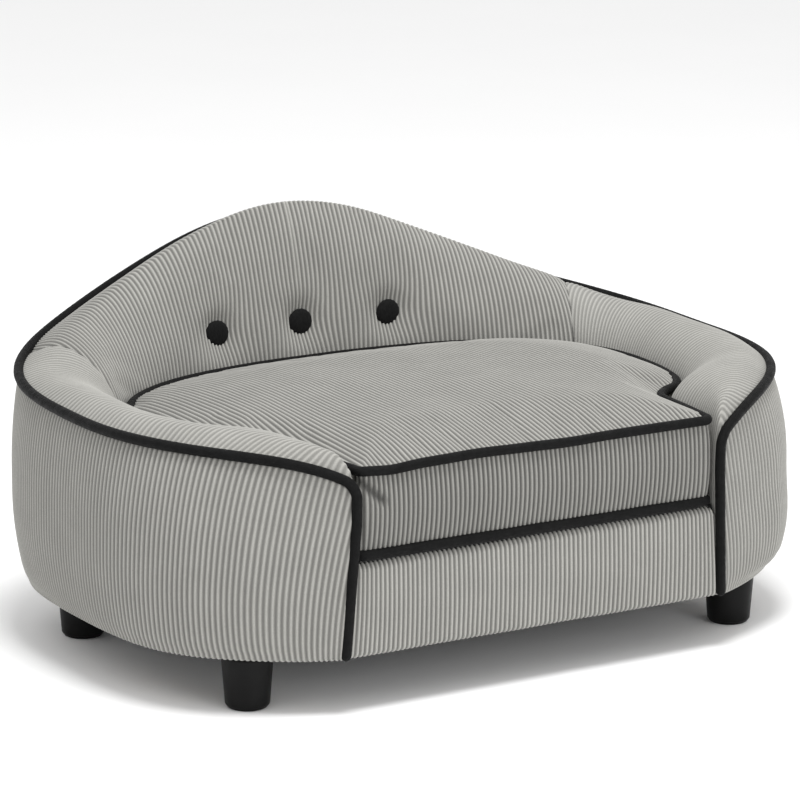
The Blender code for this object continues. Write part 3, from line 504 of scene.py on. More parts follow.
def resampled(path, step, closed=False):
    path = np.array(path)
    if closed:
        path = np.concatenate([path, path[:1]])
    lengths = lengths_along(path)
    count = max(8, round(lengths[-1] / step))
    places = np.linspace(0, lengths[-1], count + 1)
    if closed:
        places = places[:-1]
    return point_at(path, lengths, places)


def settle(piece, body, slot, *nodes):
    """Every new piece: the body it rides on, its material slot, which is not used, and the CAD nodes that
    it stands for.
    """
    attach(piece, body)
    if nodes:
        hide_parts(*nodes)
    return piece


# ---- Materials ----
class Look:
    """A material under construction: its Principled shader and short ways to wire nodes to it."""

    def __init__(self, name, color, roughness, metallic=0.0, sheen=0.0, specular=0.5):
        self.material = bpy.data.materials.new(name)
        self.material.use_nodes = True
        self.tree = self.material.node_tree
        self.shader = self.tree.nodes["Principled BSDF"]
        self.shader.inputs["Base Color"].default_value = (*color, 1)
        self.shader.inputs["Roughness"].default_value = roughness
        self.shader.inputs["Metallic"].default_value = metallic
        self.shader.inputs["Sheen Weight"].default_value = sheen
        self.shader.inputs["Sheen Roughness"].default_value = 0.45
        self.shader.inputs["Specular IOR Level"].default_value = specular

    def node(self, kind, **settings):
        made = self.tree.nodes.new("ShaderNode" + kind)
        for key, value in settings.items():
            if hasattr(made, key):
                setattr(made, key, value)
            else:
                made.inputs[key.replace("_", " ")].default_value = value
        return made

    def link(self, source, target):
        self.tree.links.new(source, target)

    def place(self, stretch=(1, 1, 1)):
        """Object coordinates, which are the frame's own, stretched."""
        coordinates, mapping = self.node("TexCoord"), self.node("Mapping")
        mapping.inputs["Scale"].default_value = stretch
        self.link(coordinates.outputs["Object"], mapping.inputs["Vector"])
        return mapping.outputs["Vector"]

    def noise(self, scale, detail=2.0, stretch=(1, 1, 1)):
        made = self.node("TexNoise", Scale=scale, Detail=detail)
        self.link(self.place(stretch), made.inputs["Vector"])
        return made.outputs["Fac"]

    def value(self, name):
        return self.node("Attribute", attribute_name=name).outputs["Fac"]

    def math(self, operation, first, second=0.0):
        made = self.node("Math", operation=operation)
        for socket, given in zip(made.inputs, (first, second)):
            if isinstance(given, (int, float)):
                socket.default_value = given
            else:
                self.link(given, socket)
        return made.outputs["Value"]

    def ramp(self, source, *stops):
        """Each stop is a place and a colour, or a place and the level of a grey."""
        made = self.node("ValToRGB")
        elements = made.color_ramp.elements
        while len(elements) < len(stops):
            elements.new(0.5)
        for element, (place, color) in zip(elements, stops):
            element.position = place
            element.color = (color, color, color, 1) if isinstance(color, float) else (*color, 1)
        self.link(source, made.inputs["Fac"])
        return made.outputs["Color"]

    def times(self, first, second):
        made = self.node("Mix", data_type="RGBA", blend_type="MULTIPLY")
        made.inputs[0].default_value = 1.0
        self.link(first, made.inputs[6])
        self.link(second, made.inputs[7])
        return made.outputs[2]

    def color(self, source):
        self.link(source, self.shader.inputs["Base Color"])

    def rough(self, source):
        self.link(source, self.shader.inputs["Roughness"])

    def bump(self, source, distance, strength=1.0):
        made = self.node("Bump", Strength=strength, Distance=distance)
        self.link(source, made.inputs["Height"])
        before = self.shader.inputs["Normal"]
        if before.is_linked:
            self.link(before.links[0].from_socket, made.inputs["Normal"])
        self.link(made.outputs["Normal"], before)


def grey(level):
    """A neutral grey with the cloth's slight warmth, as linear colour."""
    return (level, level * 0.986, level * 0.922)


def corduroy(name, ridge, groove):
    look = Look(name, grey(ridge), 0.92, sheen=0.18, specular=0.15)
    # The grooves take a darker colour than the ridges, from each point's share of rib height: painted
    # shade in the grooves.
    rib_shading = look.value("rib_shading")
    middle = (groove + ridge) * 0.46
    tone = look.ramp(rib_shading, (0.05, grey(groove)), (0.5, grey(middle)), (0.9, grey(ridge)))
    fuzz = look.ramp(look.noise(1500, 3), (0.25, 0.80), (0.75, 1.1))
    patches = look.ramp(look.noise(28, 3), (0.3, 0.95), (0.7, 1.03))
    look.color(look.times(look.times(tone, fuzz), patches))
    look.bump(look.noise(2200, 2), 0.0003, 0.5)
    look.bump(look.noise(420, 2), 0.0003, 0.35)
    return look.material


def black_weave(name, level, roughness):
    """Tight plain weave seen as a satin black: threads cross in two diagonals of the piece's own run."""
    look = Look(name, (level, level, level * 1.05), roughness, sheen=0.01, specular=0.10)
    along, around = look.value("along"), look.value("around")
    crossing = []
    for way in ("ADD", "SUBTRACT"):
        turns = look.math("MULTIPLY", along, 5200), look.math("MULTIPLY", around, 16)
        crossing.append(look.math("SINE", look.math(way, *turns)))
    threads = look.math("MULTIPLY", *crossing)
    look.bump(threads, 0.0002, 0.6)
    worn = look.ramp(look.noise(350, 3), (0.3, level * 0.8), (0.75, level * 1.5))
    look.color(worn)
    look.rough(look.ramp(look.noise(160, 2), (0.3, roughness - 0.08), (0.7, roughness + 0.12)))
    return look.material


def grained(look, source, stops, *bump):
    """Colour and bump that both follow one pattern."""
    look.color(look.ramp(source, *stops))
    look.bump(source, *bump)
    return look.material


def black_felt(name, level):
    look = Look(name, (level,) * 3, 0.9, sheen=0.03, specular=0.1)
    stops = (0.3, level * 0.7), (0.7, level * 1.5)
    return grained(look, look.noise(900, 4, (1, 1, 0.3)), stops, 0.0004, 0.5)


def moulded_plastic(name):
    look = Look(name, (0.006, 0.006, 0.006), 0.45, specular=0.11)
    grain = look.noise(1800, 2)
    look.bump(grain, 0.00015, 0.35)
    look.rough(look.ramp(look.noise(60, 3), (0.3, 0.36), (0.7, 0.50)))
    look.color(look.ramp(look.noise(40, 2), (0.3, 0.0045), (0.7, 0.007)))
    return look.material


def timber(name, light, dark, stretch):
    look = Look(name, light, 0.75)
    return grained(look, look.noise(60, 5, stretch), ((0.35, dark), (0.65, light)), 0.0003, 0.4)


def pressed_board(name, light, dark):
    look = Look(name, light, 0.8)
    return grained(look, look.noise(700, 4), ((0.35, dark), (0.7, light)), 0.0002, 0.3)


def cell_foam(name, light):
    look = Look(name, light, 0.95)
    cells = look.node("TexVoronoi", Scale=900.0)
    look.link(look.place(), cells.inputs["Vector"])
    dark = tuple(value * 0.75 for value in light)
    return grained(look, cells.outputs["Distance"], ((0.1, dark), (0.6, light)), 0.0004, 0.5)


def plated_steel(name, level):
    look = Look(name, (level, level, level * 1.02), 0.35, metallic=1.0)
    look.rough(look.ramp(look.noise(300, 3), (0.3, 0.28), (0.7, 0.45)))
    look.bump(look.noise(1500, 2), 0.0001, 0.3)
    return look.material


OUTER_CLOTH = corduroy("outer_corduroy", 0.36, 0.17)
FRONT_CLOTH = corduroy("front_corduroy", 0.38, 0.148)
PAD_CLOTH = corduroy("pad_corduroy", 0.355, 0.145)
# Painted light: the arms' copy of the corduroy has lighter grooves, for the brighter light on the arm
# tops.
ARM_LIT_CLOTH = corduroy("arm_corduroy_painted_light", 0.365, 0.225)
CUSHION_CLOTH = corduroy("cushion_corduroy", 0.35, 0.12)
# Painted shade: the boxing's copy of the corduroy is much darker, for the band recessed under the
# cushion's top piping.
BOXING_SHADED_CLOTH = corduroy("boxing_corduroy_painted_shade", 0.272, 0.078)
PIPING_CLOTH = black_weave("piping_satin", 0.0036, 0.55)
BUTTON_CLOTH = black_felt("button_cloth", 0.007)
LINING = black_felt("lining_felt", 0.022)
ZIP_TAPE = black_felt("zip_tape_weave", 0.02)
ZIP_METAL = plated_steel("zip_gunmetal", 0.35)
FOOT_PLASTIC = moulded_plastic("foot_plastic_grained")
ZINC = plated_steel("zinc_plate", 0.62)
PINE = timber("pine_grain", (0.70, 0.53, 0.33), (0.55, 0.38, 0.21), (8, 1, 1))
PLYWOOD = timber("plywood_grain", (0.62, 0.48, 0.30), (0.48, 0.34, 0.20), (6, 1, 1))
HARDBOARD = pressed_board("hardboard_fibres", (0.42, 0.30, 0.18), (0.27, 0.18, 0.10))
FOAM = cell_foam("cream_foam", (0.78, 0.74, 0.60))
FIBRE = cell_foam("white_fibre", (0.86, 0.86, 0.84))
THREAD = black_felt("twine_thread", 0.03)


# ---- Pieces of the wall ----
COLUMN_STEP = 0.0006  # on the pads, whose ribs run across the mesh columns at a slant
COVER_START = 0.0022  # the covers end inside the piping of the front edge
WRAP_ROWS, WRAP_THICKNESS = 30, 0.0030
WRAP_RIB_LEAN, WRAP_LEAN_REACH = 0.018, 0.25  # the outer ribs lean forward at their top, near the front
TIP_TURN, TIP_TURN_REACH = 0.60, 0.17  # how far the arm pads' ribs turn towards the tip, in radians
SEAM_SLANT, SEAM_SLANT_REACH = 0.030, 0.10  # how far they slant at their outer end beside the arm seam
SEAM_GROOVE, SEAM_GROOVE_REACH = 0.0030, 0.007  # the stitching draws the cloth in along that seam


def build_outer_wrap():
    edge = HALF_RUN - COVER_START
    runs, phases = rib_columns(-edge, edge, WRAP_PITCH)
    sections = Sections(runs)
    depth, height = sections.wall(WRAP_ROWS)
    face = sections.place(depth, height)
    swell = cloth_swell(face, size=0.09, height=0.0009, seed=1)
    face = face + normals_of(face) * swell[:, :, None]
    outward = facing(face, 5, (0, 1, 0))
    up = unit((height - UNDERSIDE) / (sections.piping - UNDERSIDE)[:, None])
    forward = WRAP_RIB_LEAN * up**2 * np.exp(-sections.left / WRAP_LEAN_REACH)[:, None]
    phase = phases[:, None] - forward * sections.side[:, None] / WRAP_PITCH
    face, rib_shading = raise_ribs(face, phase, outward)
    rows = [WRAP_ROWS - 1, 22, 14, 7, 0]
    inside = np.maximum(height[:, rows], UNDERSIDE + 0.006)
    lining = sections.place(depth[:, rows] + WRAP_THICKNESS, inside)
    hem = sections.place(depth[:, -1:], height[:, -1:] + 0.0010)
    fold = sections.place(depth[:, [rows[0]]] + WRAP_THICKNESS, 0 * height[:, :1] + UNDERSIDE + 0.0016)
    rings = np.concatenate([face, hem, fold, lining], axis=1)
    piece = swept("outer_wrap", rings, OUTER_CLOTH, rib_shading)
    settle(piece, "frame", "corduroy_outer", "outer_wrap_cover")


def slanted_phase(sections, depth, across_seam):
    """Rib phase over a pad: ribs slant away from the arm seam on its two sides and forward at the tip."""
    share_out = unit(1 - depth / sections.width[:, None])
    runs = np.linspace(0, HALF_RUN, 2000)
    turn = TIP_TURN * near(HALF_RUN - runs, 0, TIP_TURN_REACH)
    middle = (runs + smooth_marks(runs)) / 2
    laid = np.concatenate([[0], np.cumsum(np.diff(middle) * np.cos(turn[1:]))])
    along = np.interp(sections.run, runs, laid)
    inward = np.sin(np.interp(sections.run, runs, turn))[:, None] * depth
    nearness = np.exp(-np.abs(sections.run - SEAM_RUN) / SEAM_SLANT_REACH)
    slant = across_seam * SEAM_SLANT * nearness[:, None] * share_out**1.3
    return (along[:, None] - inward + slant) * sections.side[:, None] / PAD_PITCH


BUTTON_X = (-0.091, 0.0, 0.091)
BUTTON_HEIGHT, BUTTON_RADIUS = 0.2375, 0.0123
DIMPLE_DEPTH, DIMPLE_REACH, DIMPLE_POWER = 0.0095, 0.020, 2.4
HELD_SHARE, HELD_POWER = 1.15, 8  # the cloth is held under a button and just beside it
BUTTON_PROUD = 0.0025  # the covered button stands this much further out than its shell
BUTTON_FOLDS, BUTTON_SIDES = 18, 72
BUTTON_DOME = [  # share of the radius, and how far behind the front
    (0.02, 0.0), (0.25, 0.0001), (0.5, 0.0004), (0.7, 0.0009), (0.84, 0.0015),
    (0.93, 0.0023), (0.985, 0.0032), (1.0, 0.0041), (0.985, 0.0050), (0.93, 0.0056),
]
RIB_SPREAD, RIB_SPREAD_REACH = 0.34, 0.026  # the ribs close in on a button by this share
ROWS_UP, ROWS_DOWN = 20, 46  # of a pad, from the piping up to its crown and down its face
SIM_STEP, PAD_PRESSURE = 0.006, 1.2
HELD_FOOT_ROWS = 5  # the lowest rows of a pad are nailed down beside the deck


def button_pull(points, buttons, reach, power):
    """1 at each button and falling to 0 beyond its reach."""
    pull = np.zeros(points.shape[:2])
    for x, _ in buttons:
        distance = np.hypot(points[:, :, 0] - x, points[:, :, 2] - BUTTON_HEIGHT)
        pull = np.maximum(pull, np.exp(-((distance / reach) ** power)))
    return pull


def build_pad(name, start, end, look, across_seam, buttons, *nodes):
    cloth, rib_height = look
    count = round(abs(end - start) / COLUMN_STEP)
    runs = np.linspace(start, end, count + 1)
    sections = Sections(runs)
    depth, height = sections.pad(ROWS_UP, ROWS_DOWN)
    face = sections.place(depth, height)
    phase = slanted_phase(sections, depth, across_seam)
    outward = facing(face, ROWS_UP - 1, (0, 0, 1))
    normal = normals_of(face) * outward
    seam_near = np.exp(-np.abs(sections.run - SEAM_RUN) / SEAM_GROOVE_REACH)[:, None]
    swell = cloth_swell(face, size=0.07, height=0.0012, seed=2) - SEAM_GROOVE * seam_near
    face = face + normal * swell[:, :, None]
    bare = face.copy()
    face[:, :, 1] += DIMPLE_DEPTH * button_pull(bare, buttons, DIMPLE_REACH, DIMPLE_POWER)
    every = max(1, round(SIM_STEP / COLUMN_STEP))
    columns, rows = np.arange(0, count + 1, every), np.arange(0, face.shape[1], 2)
    if columns[-1] != count:
        columns = np.append(columns, count)
    held = button_pull(face, buttons, BUTTON_RADIUS * HELD_SHARE, HELD_POWER)
    held[:, -HELD_FOOT_ROWS:] = 1
    face = settled(face, held, columns, rows, PAD_PRESSURE * outward)
    for x, y in buttons:
        away = bare - np.array([x, y, BUTTON_HEIGHT])
        distance = np.hypot(away[:, :, 0], away[:, :, 2])
        phase = phase + away[:, :, 0] * RIB_SPREAD * near(distance, 0, RIB_SPREAD_REACH) / PAD_PITCH
    face, rib_shading = raise_ribs(face, phase, outward, rib_height)
    inset = np.minimum(0.019, sections.width * 0.45)
    outer_end = np.minimum(0.020, sections.width * 0.4)
    inner_end = sections.width - inset
    inner_depth = stacked(inner_end, np.maximum(inner_end, outer_end), outer_end)
    drop = sections.piping - 0.012
    inner_height = stacked(DECK_TOP + 0.0005, np.minimum(drop, 0.180), drop)
    hidden = sections.place(inner_depth, inner_height)
    rings = np.concatenate([face, hidden], axis=1)
    piece = swept(name, rings, cloth, rib_shading)
    settle(piece, "frame", "corduroy_inner", *nodes)


def back_face_y(x, height):
    """Where the back pad's bare section has its face, at a place across the bed and a height."""
    sections = Sections(np.linspace(0, SEAM_RUN, 160))
    depth, heights = sections.pad(2, 60)
    places = []
    for k in range(len(sections.run)):
        at = np.interp(height, heights[k, 1:][::-1], depth[k, 1:][::-1])
        places.append(sections.outer[k] + sections.inward[k] * at)
    places = np.array(places)
    return float(np.interp(abs(x), places[:, 0], places[:, 1]))


def build_wall():
    build_outer_wrap()
    gap = 0.0004
    buttons = [(x, back_face_y(x, BUTTON_HEIGHT)) for x in BUTTON_X]
    edge = HALF_RUN - COVER_START
    back_look, arm_look = (PAD_CLOTH, RIB_HEIGHT), (ARM_LIT_CLOTH, ARM_RIB_HEIGHT)
    end = SEAM_RUN - gap
    build_pad("back_pad", -end, end, back_look, 1, buttons, "back_cover", "back_foam")
    for side, sign in (("left", -1), ("right", 1)):
        nodes = [side + "_arm_cover", side + "_arm_foam", side + "_arm_tip_wadding"]
        build_pad(side + "_arm_pad", sign * (SEAM_RUN + gap), sign * edge, arm_look, -1, [], *nodes)


def edge_piping_path(side):
    """Up the front edge of one arm and round the top line to the middle of the back; side is -1 or 1."""
    corner = np.linspace(0, CORNER_RADIUS, 16) ** 2 / CORNER_RADIUS
    lefts = np.concatenate([corner, np.linspace(0.014, 0.060, 16)])
    runs = np.concatenate([HALF_RUN - lefts, np.linspace(HALF_RUN - 0.064, 0, 150)])
    sections = Sections(side * runs)
    top = np.concatenate([sections.outer, sections.piping[:, None]], axis=1)
    tip = top[0][2]
    heights = np.linspace(UNDERSIDE - 0.0005, tip - 0.003, 36)
    foot = point_at(OUTER, OUTER_LENGTHS, HALF_RUN - front_lean(heights))
    rising = stacked(side * foot[:, 0], foot[:, 1] + 0.004 * (tip - heights) / tip, heights)
    return np.concatenate([rising, top])


def build_edge_piping():
    whole = np.concatenate([edge_piping_path(-1), edge_piping_path(1)[::-1][1:]])
    path = resampled(whole, 0.0022)
    piece = tube("edge_piping_cord", path, PIPING_RADIUS, PIPING_CLOTH)
    settle(piece, "frame", "piping_cloth", "edge_piping")


def build_buttons():
    """Cloth stretched over a domed shell and gathered behind it: the rim has small folds."""
    for number, x in enumerate(BUTTON_X, 1):
        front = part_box(f"back_button_{number}")[0].y - BUTTON_PROUD
        rings = []
        angles = full_turn(BUTTON_SIDES)
        for share, back in BUTTON_DOME:
            folds = 1 + 0.012 * np.sin(angles * BUTTON_FOLDS + number) * share**4
            radius = BUTTON_RADIUS * share * folds
            upright = BUTTON_HEIGHT + radius * np.sin(angles)
            rings.append(stacked(x + radius * np.cos(angles), front + back, upright))
        piece = ring_body(f"covered_button_{number}", [np.array(rings)], BUTTON_CLOTH)
        settle(piece, "frame", "button_cloth", f"back_button_{number}")


# ---- Front, deck and underside ----
FRONT_CORNER = 0.010  # radius of the front panel's top corners


def build_front():
    """The front panel's cloth over its rail: soft top edge, rolled bottom edge, vertical ribs."""
    reach = FRONT_HALF_WIDTH + EDGE_LEAN - 0.001
    places, phases = rib_columns(-reach, reach, FRONT_PITCH, 0.5)
    arc = np.radians(np.linspace(90, 0, 7))
    top_radius, low_radius, hem_y = 0.0075, 0.005, FRONT_Y + 0.0215
    high, low = DECK_TOP - top_radius, UNDERSIDE + low_radius
    top = stacked(FRONT_Y + top_radius - top_radius * np.cos(arc), high + top_radius * np.sin(arc))
    face = [(FRONT_Y, z) for z in np.linspace(high, low, 18)[1:-1]]
    arc = arc[::-1]
    roll = stacked(FRONT_Y + low_radius - low_radius * np.cos(arc), low - low_radius * np.sin(arc))
    outline = np.array([(FRONT_Y + 0.0079, DECK_TOP), *top, *face, *roll, (hem_y, UNDERSIDE)])
    share = unit((outline[:, 1] - UNDERSIDE) / (DECK_TOP - UNDERSIDE))
    belly = 0.0016 * np.sin(np.pi * share)
    edge = 1 - np.exp(-(reach - np.abs(places)) / 0.004)
    y = outline[None, :, 0] - belly[None, :] * edge[:, None] + 0.0022 * (1 - edge)[:, None]
    corner = unit(1 - (reach - np.abs(places)) / FRONT_CORNER)
    fall = FRONT_CORNER * (1 - np.sqrt(1 - corner**2))[:, None] * share[None, :] ** 2
    lean = (EDGE_LEAN - front_lean(outline[None, :, 1])) / reach
    follow = 1 - lean * np.abs(places[:, None] / reach) ** 6
    points = stacked(places[:, None] * follow, y, outline[None, :, 1] - fall)
    swell = cloth_swell(points, size=0.05, height=0.0006, seed=3)
    points = points + normals_of(points) * swell[:, :, None]
    outward = facing(points, 15, (0, -1, 0))
    points, rib_shading = raise_ribs(points, phases[:, None] + 0 * y, outward)
    back = np.array([(hem_y, UNDERSIDE + 0.0010), (FRONT_Y + 0.0040, UNDERSIDE + 0.0016),
                     (FRONT_Y + 0.0026, UNDERSIDE + 0.006), (FRONT_Y + 0.0026, DECK_TOP - 0.005),
                     (FRONT_Y + 0.0079, DECK_TOP - 0.0019)])
    back_share = (back[:, 1] - UNDERSIDE) / (DECK_TOP - UNDERSIDE)
    lining = stacked(places[:, None] * 0.985, back[:, 0], back[:, 1] - fall[:, :1] * back_share**2)
    rings = np.concatenate([points, lining], axis=1)
    piece = swept("front_panel_cloth", rings, FRONT_CLOTH, rib_shading)
    settle(piece, "frame", "corduroy_outer", "front_cover")


def mirrored(right, step):
    """Closed outline from its right half, which starts and ends on the middle line."""
    left = right[1:-1][::-1] * np.array([-1, 1])
    return resampled(np.concatenate([right, left]), step, closed=True)


def seat_outline(inset, front_y, corner=0.011):
    """Closed outline of the seat drawn in by inset, anticlockwise from the middle of the back."""
    tangent = directions(INNER)
    moved = INNER + stacked(tangent[:, 1], -tangent[:, 0]) * inset
    moved = moved[moved[:, 1] > front_y + corner]
    moved[0, 0] = 0
    edge_x = moved[-1, 0]
    angles = np.radians(np.linspace(0, 90, 12))
    arc_y = front_y + corner - corner * np.sin(angles)
    arc = stacked(edge_x - corner + corner * np.cos(angles), arc_y)
    return mirrored(np.concatenate([moved, arc[1:], [(0.0, front_y)]]), 0.002)


def y_range(outline, x):
    """Front and back of the outline on the line at x."""
    right = outline[outline[:, 0] >= -0.0005]
    widest = right[np.argmax(right[:, 0])]
    back = right[right[:, 1] >= widest[1]]
    front = right[right[:, 1] < widest[1]]
    back, front = back[np.argsort(back[:, 0])], front[np.argsort(front[:, 0])]
    return np.interp(np.abs(x), front[:, 0], front[:, 1]), np.interp(np.abs(x), back[:, 0], back[:, 1])


def distance_to(outline, points):
    best = np.full(points.shape[:-1], 1e9)
    for start in outline[::2]:
        best = np.minimum(best, np.hypot(points[..., 0] - start[0], points[..., 1] - start[1]))
    return best


def sheet_rings(outline, bottom, thickness, waves, split=None, step=0.006):
    """A thin closed sheet inside the outline, with shallow waves; split trims its two limits."""
    reach = float(outline[:, 0].max()) - 0.0008
    xs = np.linspace(-reach, reach, round(2 * reach / step))
    low, high = y_range(outline, xs)
    if split:
        low, high = split(xs, low, high)
    y = low[:, None] + (high - low)[:, None] * np.linspace(0, 1, 60)
    top = stacked(xs[:, None], y, bottom + thickness)
    calm = unit(distance_to(outline, top) / 0.02)
    top[:, :, 2] += cloth_swell(top, **waves) * calm
    under = top[:, ::-1] - np.array([0, 0, thickness])
    return np.concatenate([top, under], axis=1)


def build_deck():
    outline = seat_outline(inset=-0.004, front_y=FRONT_Y + 0.0045, corner=0.003)
    waves = {"size": 0.05, "height": 0.0005, "seed": 5}
    rings = sheet_rings(outline, DECK_TOP - 0.0021, 0.0015, waves)
    piece = swept("deck_lining", rings, LINING)
    settle(piece, "frame", "lining_cloth", "deck_cover")


def build_dust_cover():
    """Black lining stapled under the base board; it sags a little between its edges."""
    sections = Sections(np.linspace(0, HALF_RUN - 0.018, 200))
    front = FRONT_Y + 0.0235
    right = sections.outer + sections.inward * 0.0275
    right = right[right[:, 1] > front]
    right[0, 0] = 0
    right = np.concatenate([right, [(right[-1, 0], front), (0.0, front)]])
    outline = mirrored(right, 0.003)
    waves = {"size": 0.06, "height": 0.0007, "seed": 11}
    rings = sheet_rings(outline, UNDERSIDE - 0.0012, 0.0008, waves, step=0.008)
    piece = swept("dust_cover_lining", rings, LINING)
    settle(piece, "frame", "lining_cloth", "dust_cover")


# ---- The loose cushion ----
def piping_wave(x, y):
    """The top seam of the cushion isn't quite straight along its front."""
    front = np.exp(-(y - CUSHION_FRONT_Y) / 0.035)
    dips = [(-0.145, 0.020, -0.0020), (-0.060, 0.030, 0.0010), (0.030, 0.030, -0.0010)]
    return front * sum(height * near(x, place, reach) for place, reach, height in dips)


CUSHION_PRESSURE, TOP_SLACK, TOP_ROWS = 2.0, 0.004, 90
TOP_EDGE_REACH, TOP_BROAD_REACH = 0.026, 0.16  # the top rises fast beside its seam, then slowly
ZIP_Y, ZIP_REACH = 0.091, 0.125
COIL_PITCH, TAPE_HALF_WIDTH, TAPE_THICKNESS = 0.0013, 0.010, 0.0007
COIL = [(0.0022, 0.0), (0.0014, 1.0), (0.0, 0.85), (-0.0014, 1.0), (-0.0022, 0.0)]  # across, and down


def build_cushion():
    seam = seat_outline(SEAT_CLEARANCE + CUSHION_PIPING_RADIUS, CUSHION_FRONT_Y, 0.0065)
    for name, height in (("top", CUSHION_PIPING_HIGH), ("bottom", CUSHION_PIPING_LOW)):
        path = stacked(*seam.T, height)
        if name == "top":
            path[:, 2] += piping_wave(seam[:, 0], seam[:, 1])
        piece = tube(f"cushion_{name}_cord", path, CUSHION_PIPING_RADIUS, PIPING_CLOTH, closed=True)
        settle(piece, "cushion", "piping_cloth", f"cushion_{name}_piping")
    build_cushion_top(seam)
    build_boxing(seam)
    build_cushion_bottom()
    build_zip()


def zip_opening(xs):
    """Half the width of the slit that the zip shows through, at each place along it."""
    return 0.0050 * unit((ZIP_REACH - np.abs(xs)) / 0.004) + 0.0001


def build_cushion_bottom():
    """Two panels of lining that meet at the zip: one mesh of two closed sheets."""
    seam = seat_outline(SEAT_CLEARANCE + CUSHION_PIPING_RADIUS + 0.002, CUSHION_FRONT_Y + 0.002)
    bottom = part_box("cushion_bottom_cover")[0].z
    halves = [
        lambda xs, low, high: (low, np.maximum(low, np.minimum(high, ZIP_Y - zip_opening(xs)))),
        lambda xs, low, high: (np.minimum(high, np.maximum(low, ZIP_Y + zip_opening(xs))), high),
    ]
    waves = {"size": 0.05, "height": 0.0004, "seed": 13}
    rings = [sheet_rings(seam, bottom, 0.0014, waves, half) for half in halves]
    rings[1] = rings[1][np.ptp(rings[1][:, :, 1], axis=1) > 0.002]
    piece = ring_body("cushion_bottom_lining", rings, LINING)
    settle(piece, "cushion", "lining_cloth", "cushion_bottom_cover")


def build_zip():
    """Woven tape with a moulded coil, and a slider with a looped pull."""
    low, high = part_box("zip_tape_and_coil")
    reach, tape = high.x, low.z + 0.001
    xs, phases = rib_columns(-reach, reach, COIL_PITCH)
    tooth = rib_profile(phases)
    wide, upper = TAPE_HALF_WIDTH, tape + TAPE_THICKNESS
    corners = [(-wide, tape), (-wide, upper), (wide, upper), (wide, tape)]
    coil = [(y, tape - share * (0.0004 + 0.0006 * tooth)) for y, share in COIL]
    rings = np.stack([stacked(xs, ZIP_Y + y, z) for y, z in corners + coil], axis=1)
    piece = swept("zip_tape_with_coil", rings, ZIP_TAPE)
    settle(piece, "cushion", "zip_tape", "zip_tape_and_coil")
    build_slider()


PULL_SECTION = [  # from the hole round the rim: shares of the half length, half width and half thickness
    (0.62, 0.45, 1), (0.95, 0.95, 1), (1, 1, 0.4), (1, 1, -0.4), (0.95, 0.95, -1), (0.62, 0.45, -1),
]


def build_slider():
    low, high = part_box("zip_slider")
    xs = np.linspace(low.x, high.x, 24)
    share = np.linspace(0, 1, 24)
    half = (high.y - low.y) / 2 * (0.62 + 0.38 * np.abs(np.cos(np.pi * share)) ** 1.5)
    half *= np.sqrt(np.clip(1 - (2 * share - 1) ** 10, 0.2, 1))
    crown = 0.0009 * np.sin(np.pi * share)
    section = [(-0.8, 0, 0), (-1, 0.25, 0), (-1, 0.7, 0), (-0.5, 1, 0.6),
               (0.5, 1, 0.6), (1, 0.7, 0), (1, 0.25, 0), (0.8, 0, 0)]
    tall = high.z - low.z - 0.0009
    heights = [high.z - down * tall - arch * crown for _, down, arch in section]
    points = zip(section, heights)
    rings = np.stack([stacked(xs, ZIP_Y + y * half, height) for (y, _, _), height in points], axis=1)
    piece = swept("zip_slider_body", rings, ZIP_METAL)
    settle(piece, "zip_slider_body", "zip_metal", "zip_slider")
    low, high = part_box("zip_pull")
    angles = full_turn(72)
    centre_x, half_long, half_wide = (low.x + high.x) / 2, (high.x - low.x) / 2, (high.y - low.y) / 2
    c, s = np.cos(angles), np.sin(angles)
    rim = np.sign(c) * np.abs(c) ** 0.55, np.sign(s) * np.abs(s) ** 0.7
    middle, half_thick = (low.z + high.z) / 2, (high.z - low.z) / 2
    columns = []
    for long, wide, z in PULL_SECTION:
        x, y = centre_x + rim[0] * half_long * long, ZIP_Y + rim[1] * half_wide * wide
        columns.append(stacked(x, y, middle + half_thick * z))
    rings = np.stack(columns, axis=1)
    piece = swept("zip_pull_tab", rings, ZIP_METAL, closed=True)
    settle(piece, "zip_slider_body", "zip_metal", "zip_pull")


def build_cushion_top(seam):
    reach = float(seam[:, 0].max()) - 0.0006
    xs, phases = rib_columns(-reach, reach, CUSHION_PITCH, 0.5)
    low, high = y_range(seam, xs)
    share = (1 - np.cos(np.linspace(0, np.pi, TOP_ROWS))) / 2
    y = low[:, None] + (high - low)[:, None] * share
    points = stacked(xs[:, None], y, 0.0)
    inside = distance_to(seam, points)
    rise = 1 - np.exp(-inside / TOP_EDGE_REACH)
    fullness = 0.75 * rise + 0.3 * unit(inside / TOP_BROAD_REACH)
    points[:, :, 2] = CUSHION_PIPING_HIGH + (CUSHION_CROWN - CUSHION_PIPING_HIGH) * fullness
    points[:, :, 2] += cloth_swell(points, size=0.10, height=0.0016, seed=7) * rise
    points[:, :, 2] += piping_wave(points[:, :, 0], points[:, :, 1])
    columns, rows = np.arange(0, len(xs), len(RIB_STEPS)), np.arange(0, y.shape[1], 2)
    outward = facing(points, TOP_ROWS // 2, (0, 0, 1))
    points = settled(points, 0 * y, columns, rows, CUSHION_PRESSURE * outward, TOP_SLACK)
    points, rib_shading = raise_ribs(points, phases[:, None] + 0 * y, outward, RIB_HEIGHT * 0.95)
    under = stacked(xs[:, None], y, CUSHION_PIPING_HIGH - 0.003)[:, ::-30]
    rings = np.concatenate([points, under], axis=1)
    piece = swept("cushion_top", rings, CUSHION_CLOTH, rib_shading)
    settle(piece, "cushion", "corduroy_cushion", "cushion_top_cover", "cushion_core")


CREASE_START, CREASE_END = np.array([-0.181, 0.203]), np.array([-0.152, 0.178])  # as x and z
CREASE_DEPTH, CREASE_WIDTH, CREASE_FADE = 0.0030, 0.0036, 0.006
BOXING_ROWS, BOXING_BULGE, BOXING_SUNK, BOXING_THICKNESS = 24, 0.0048, 0.0015, 0.008


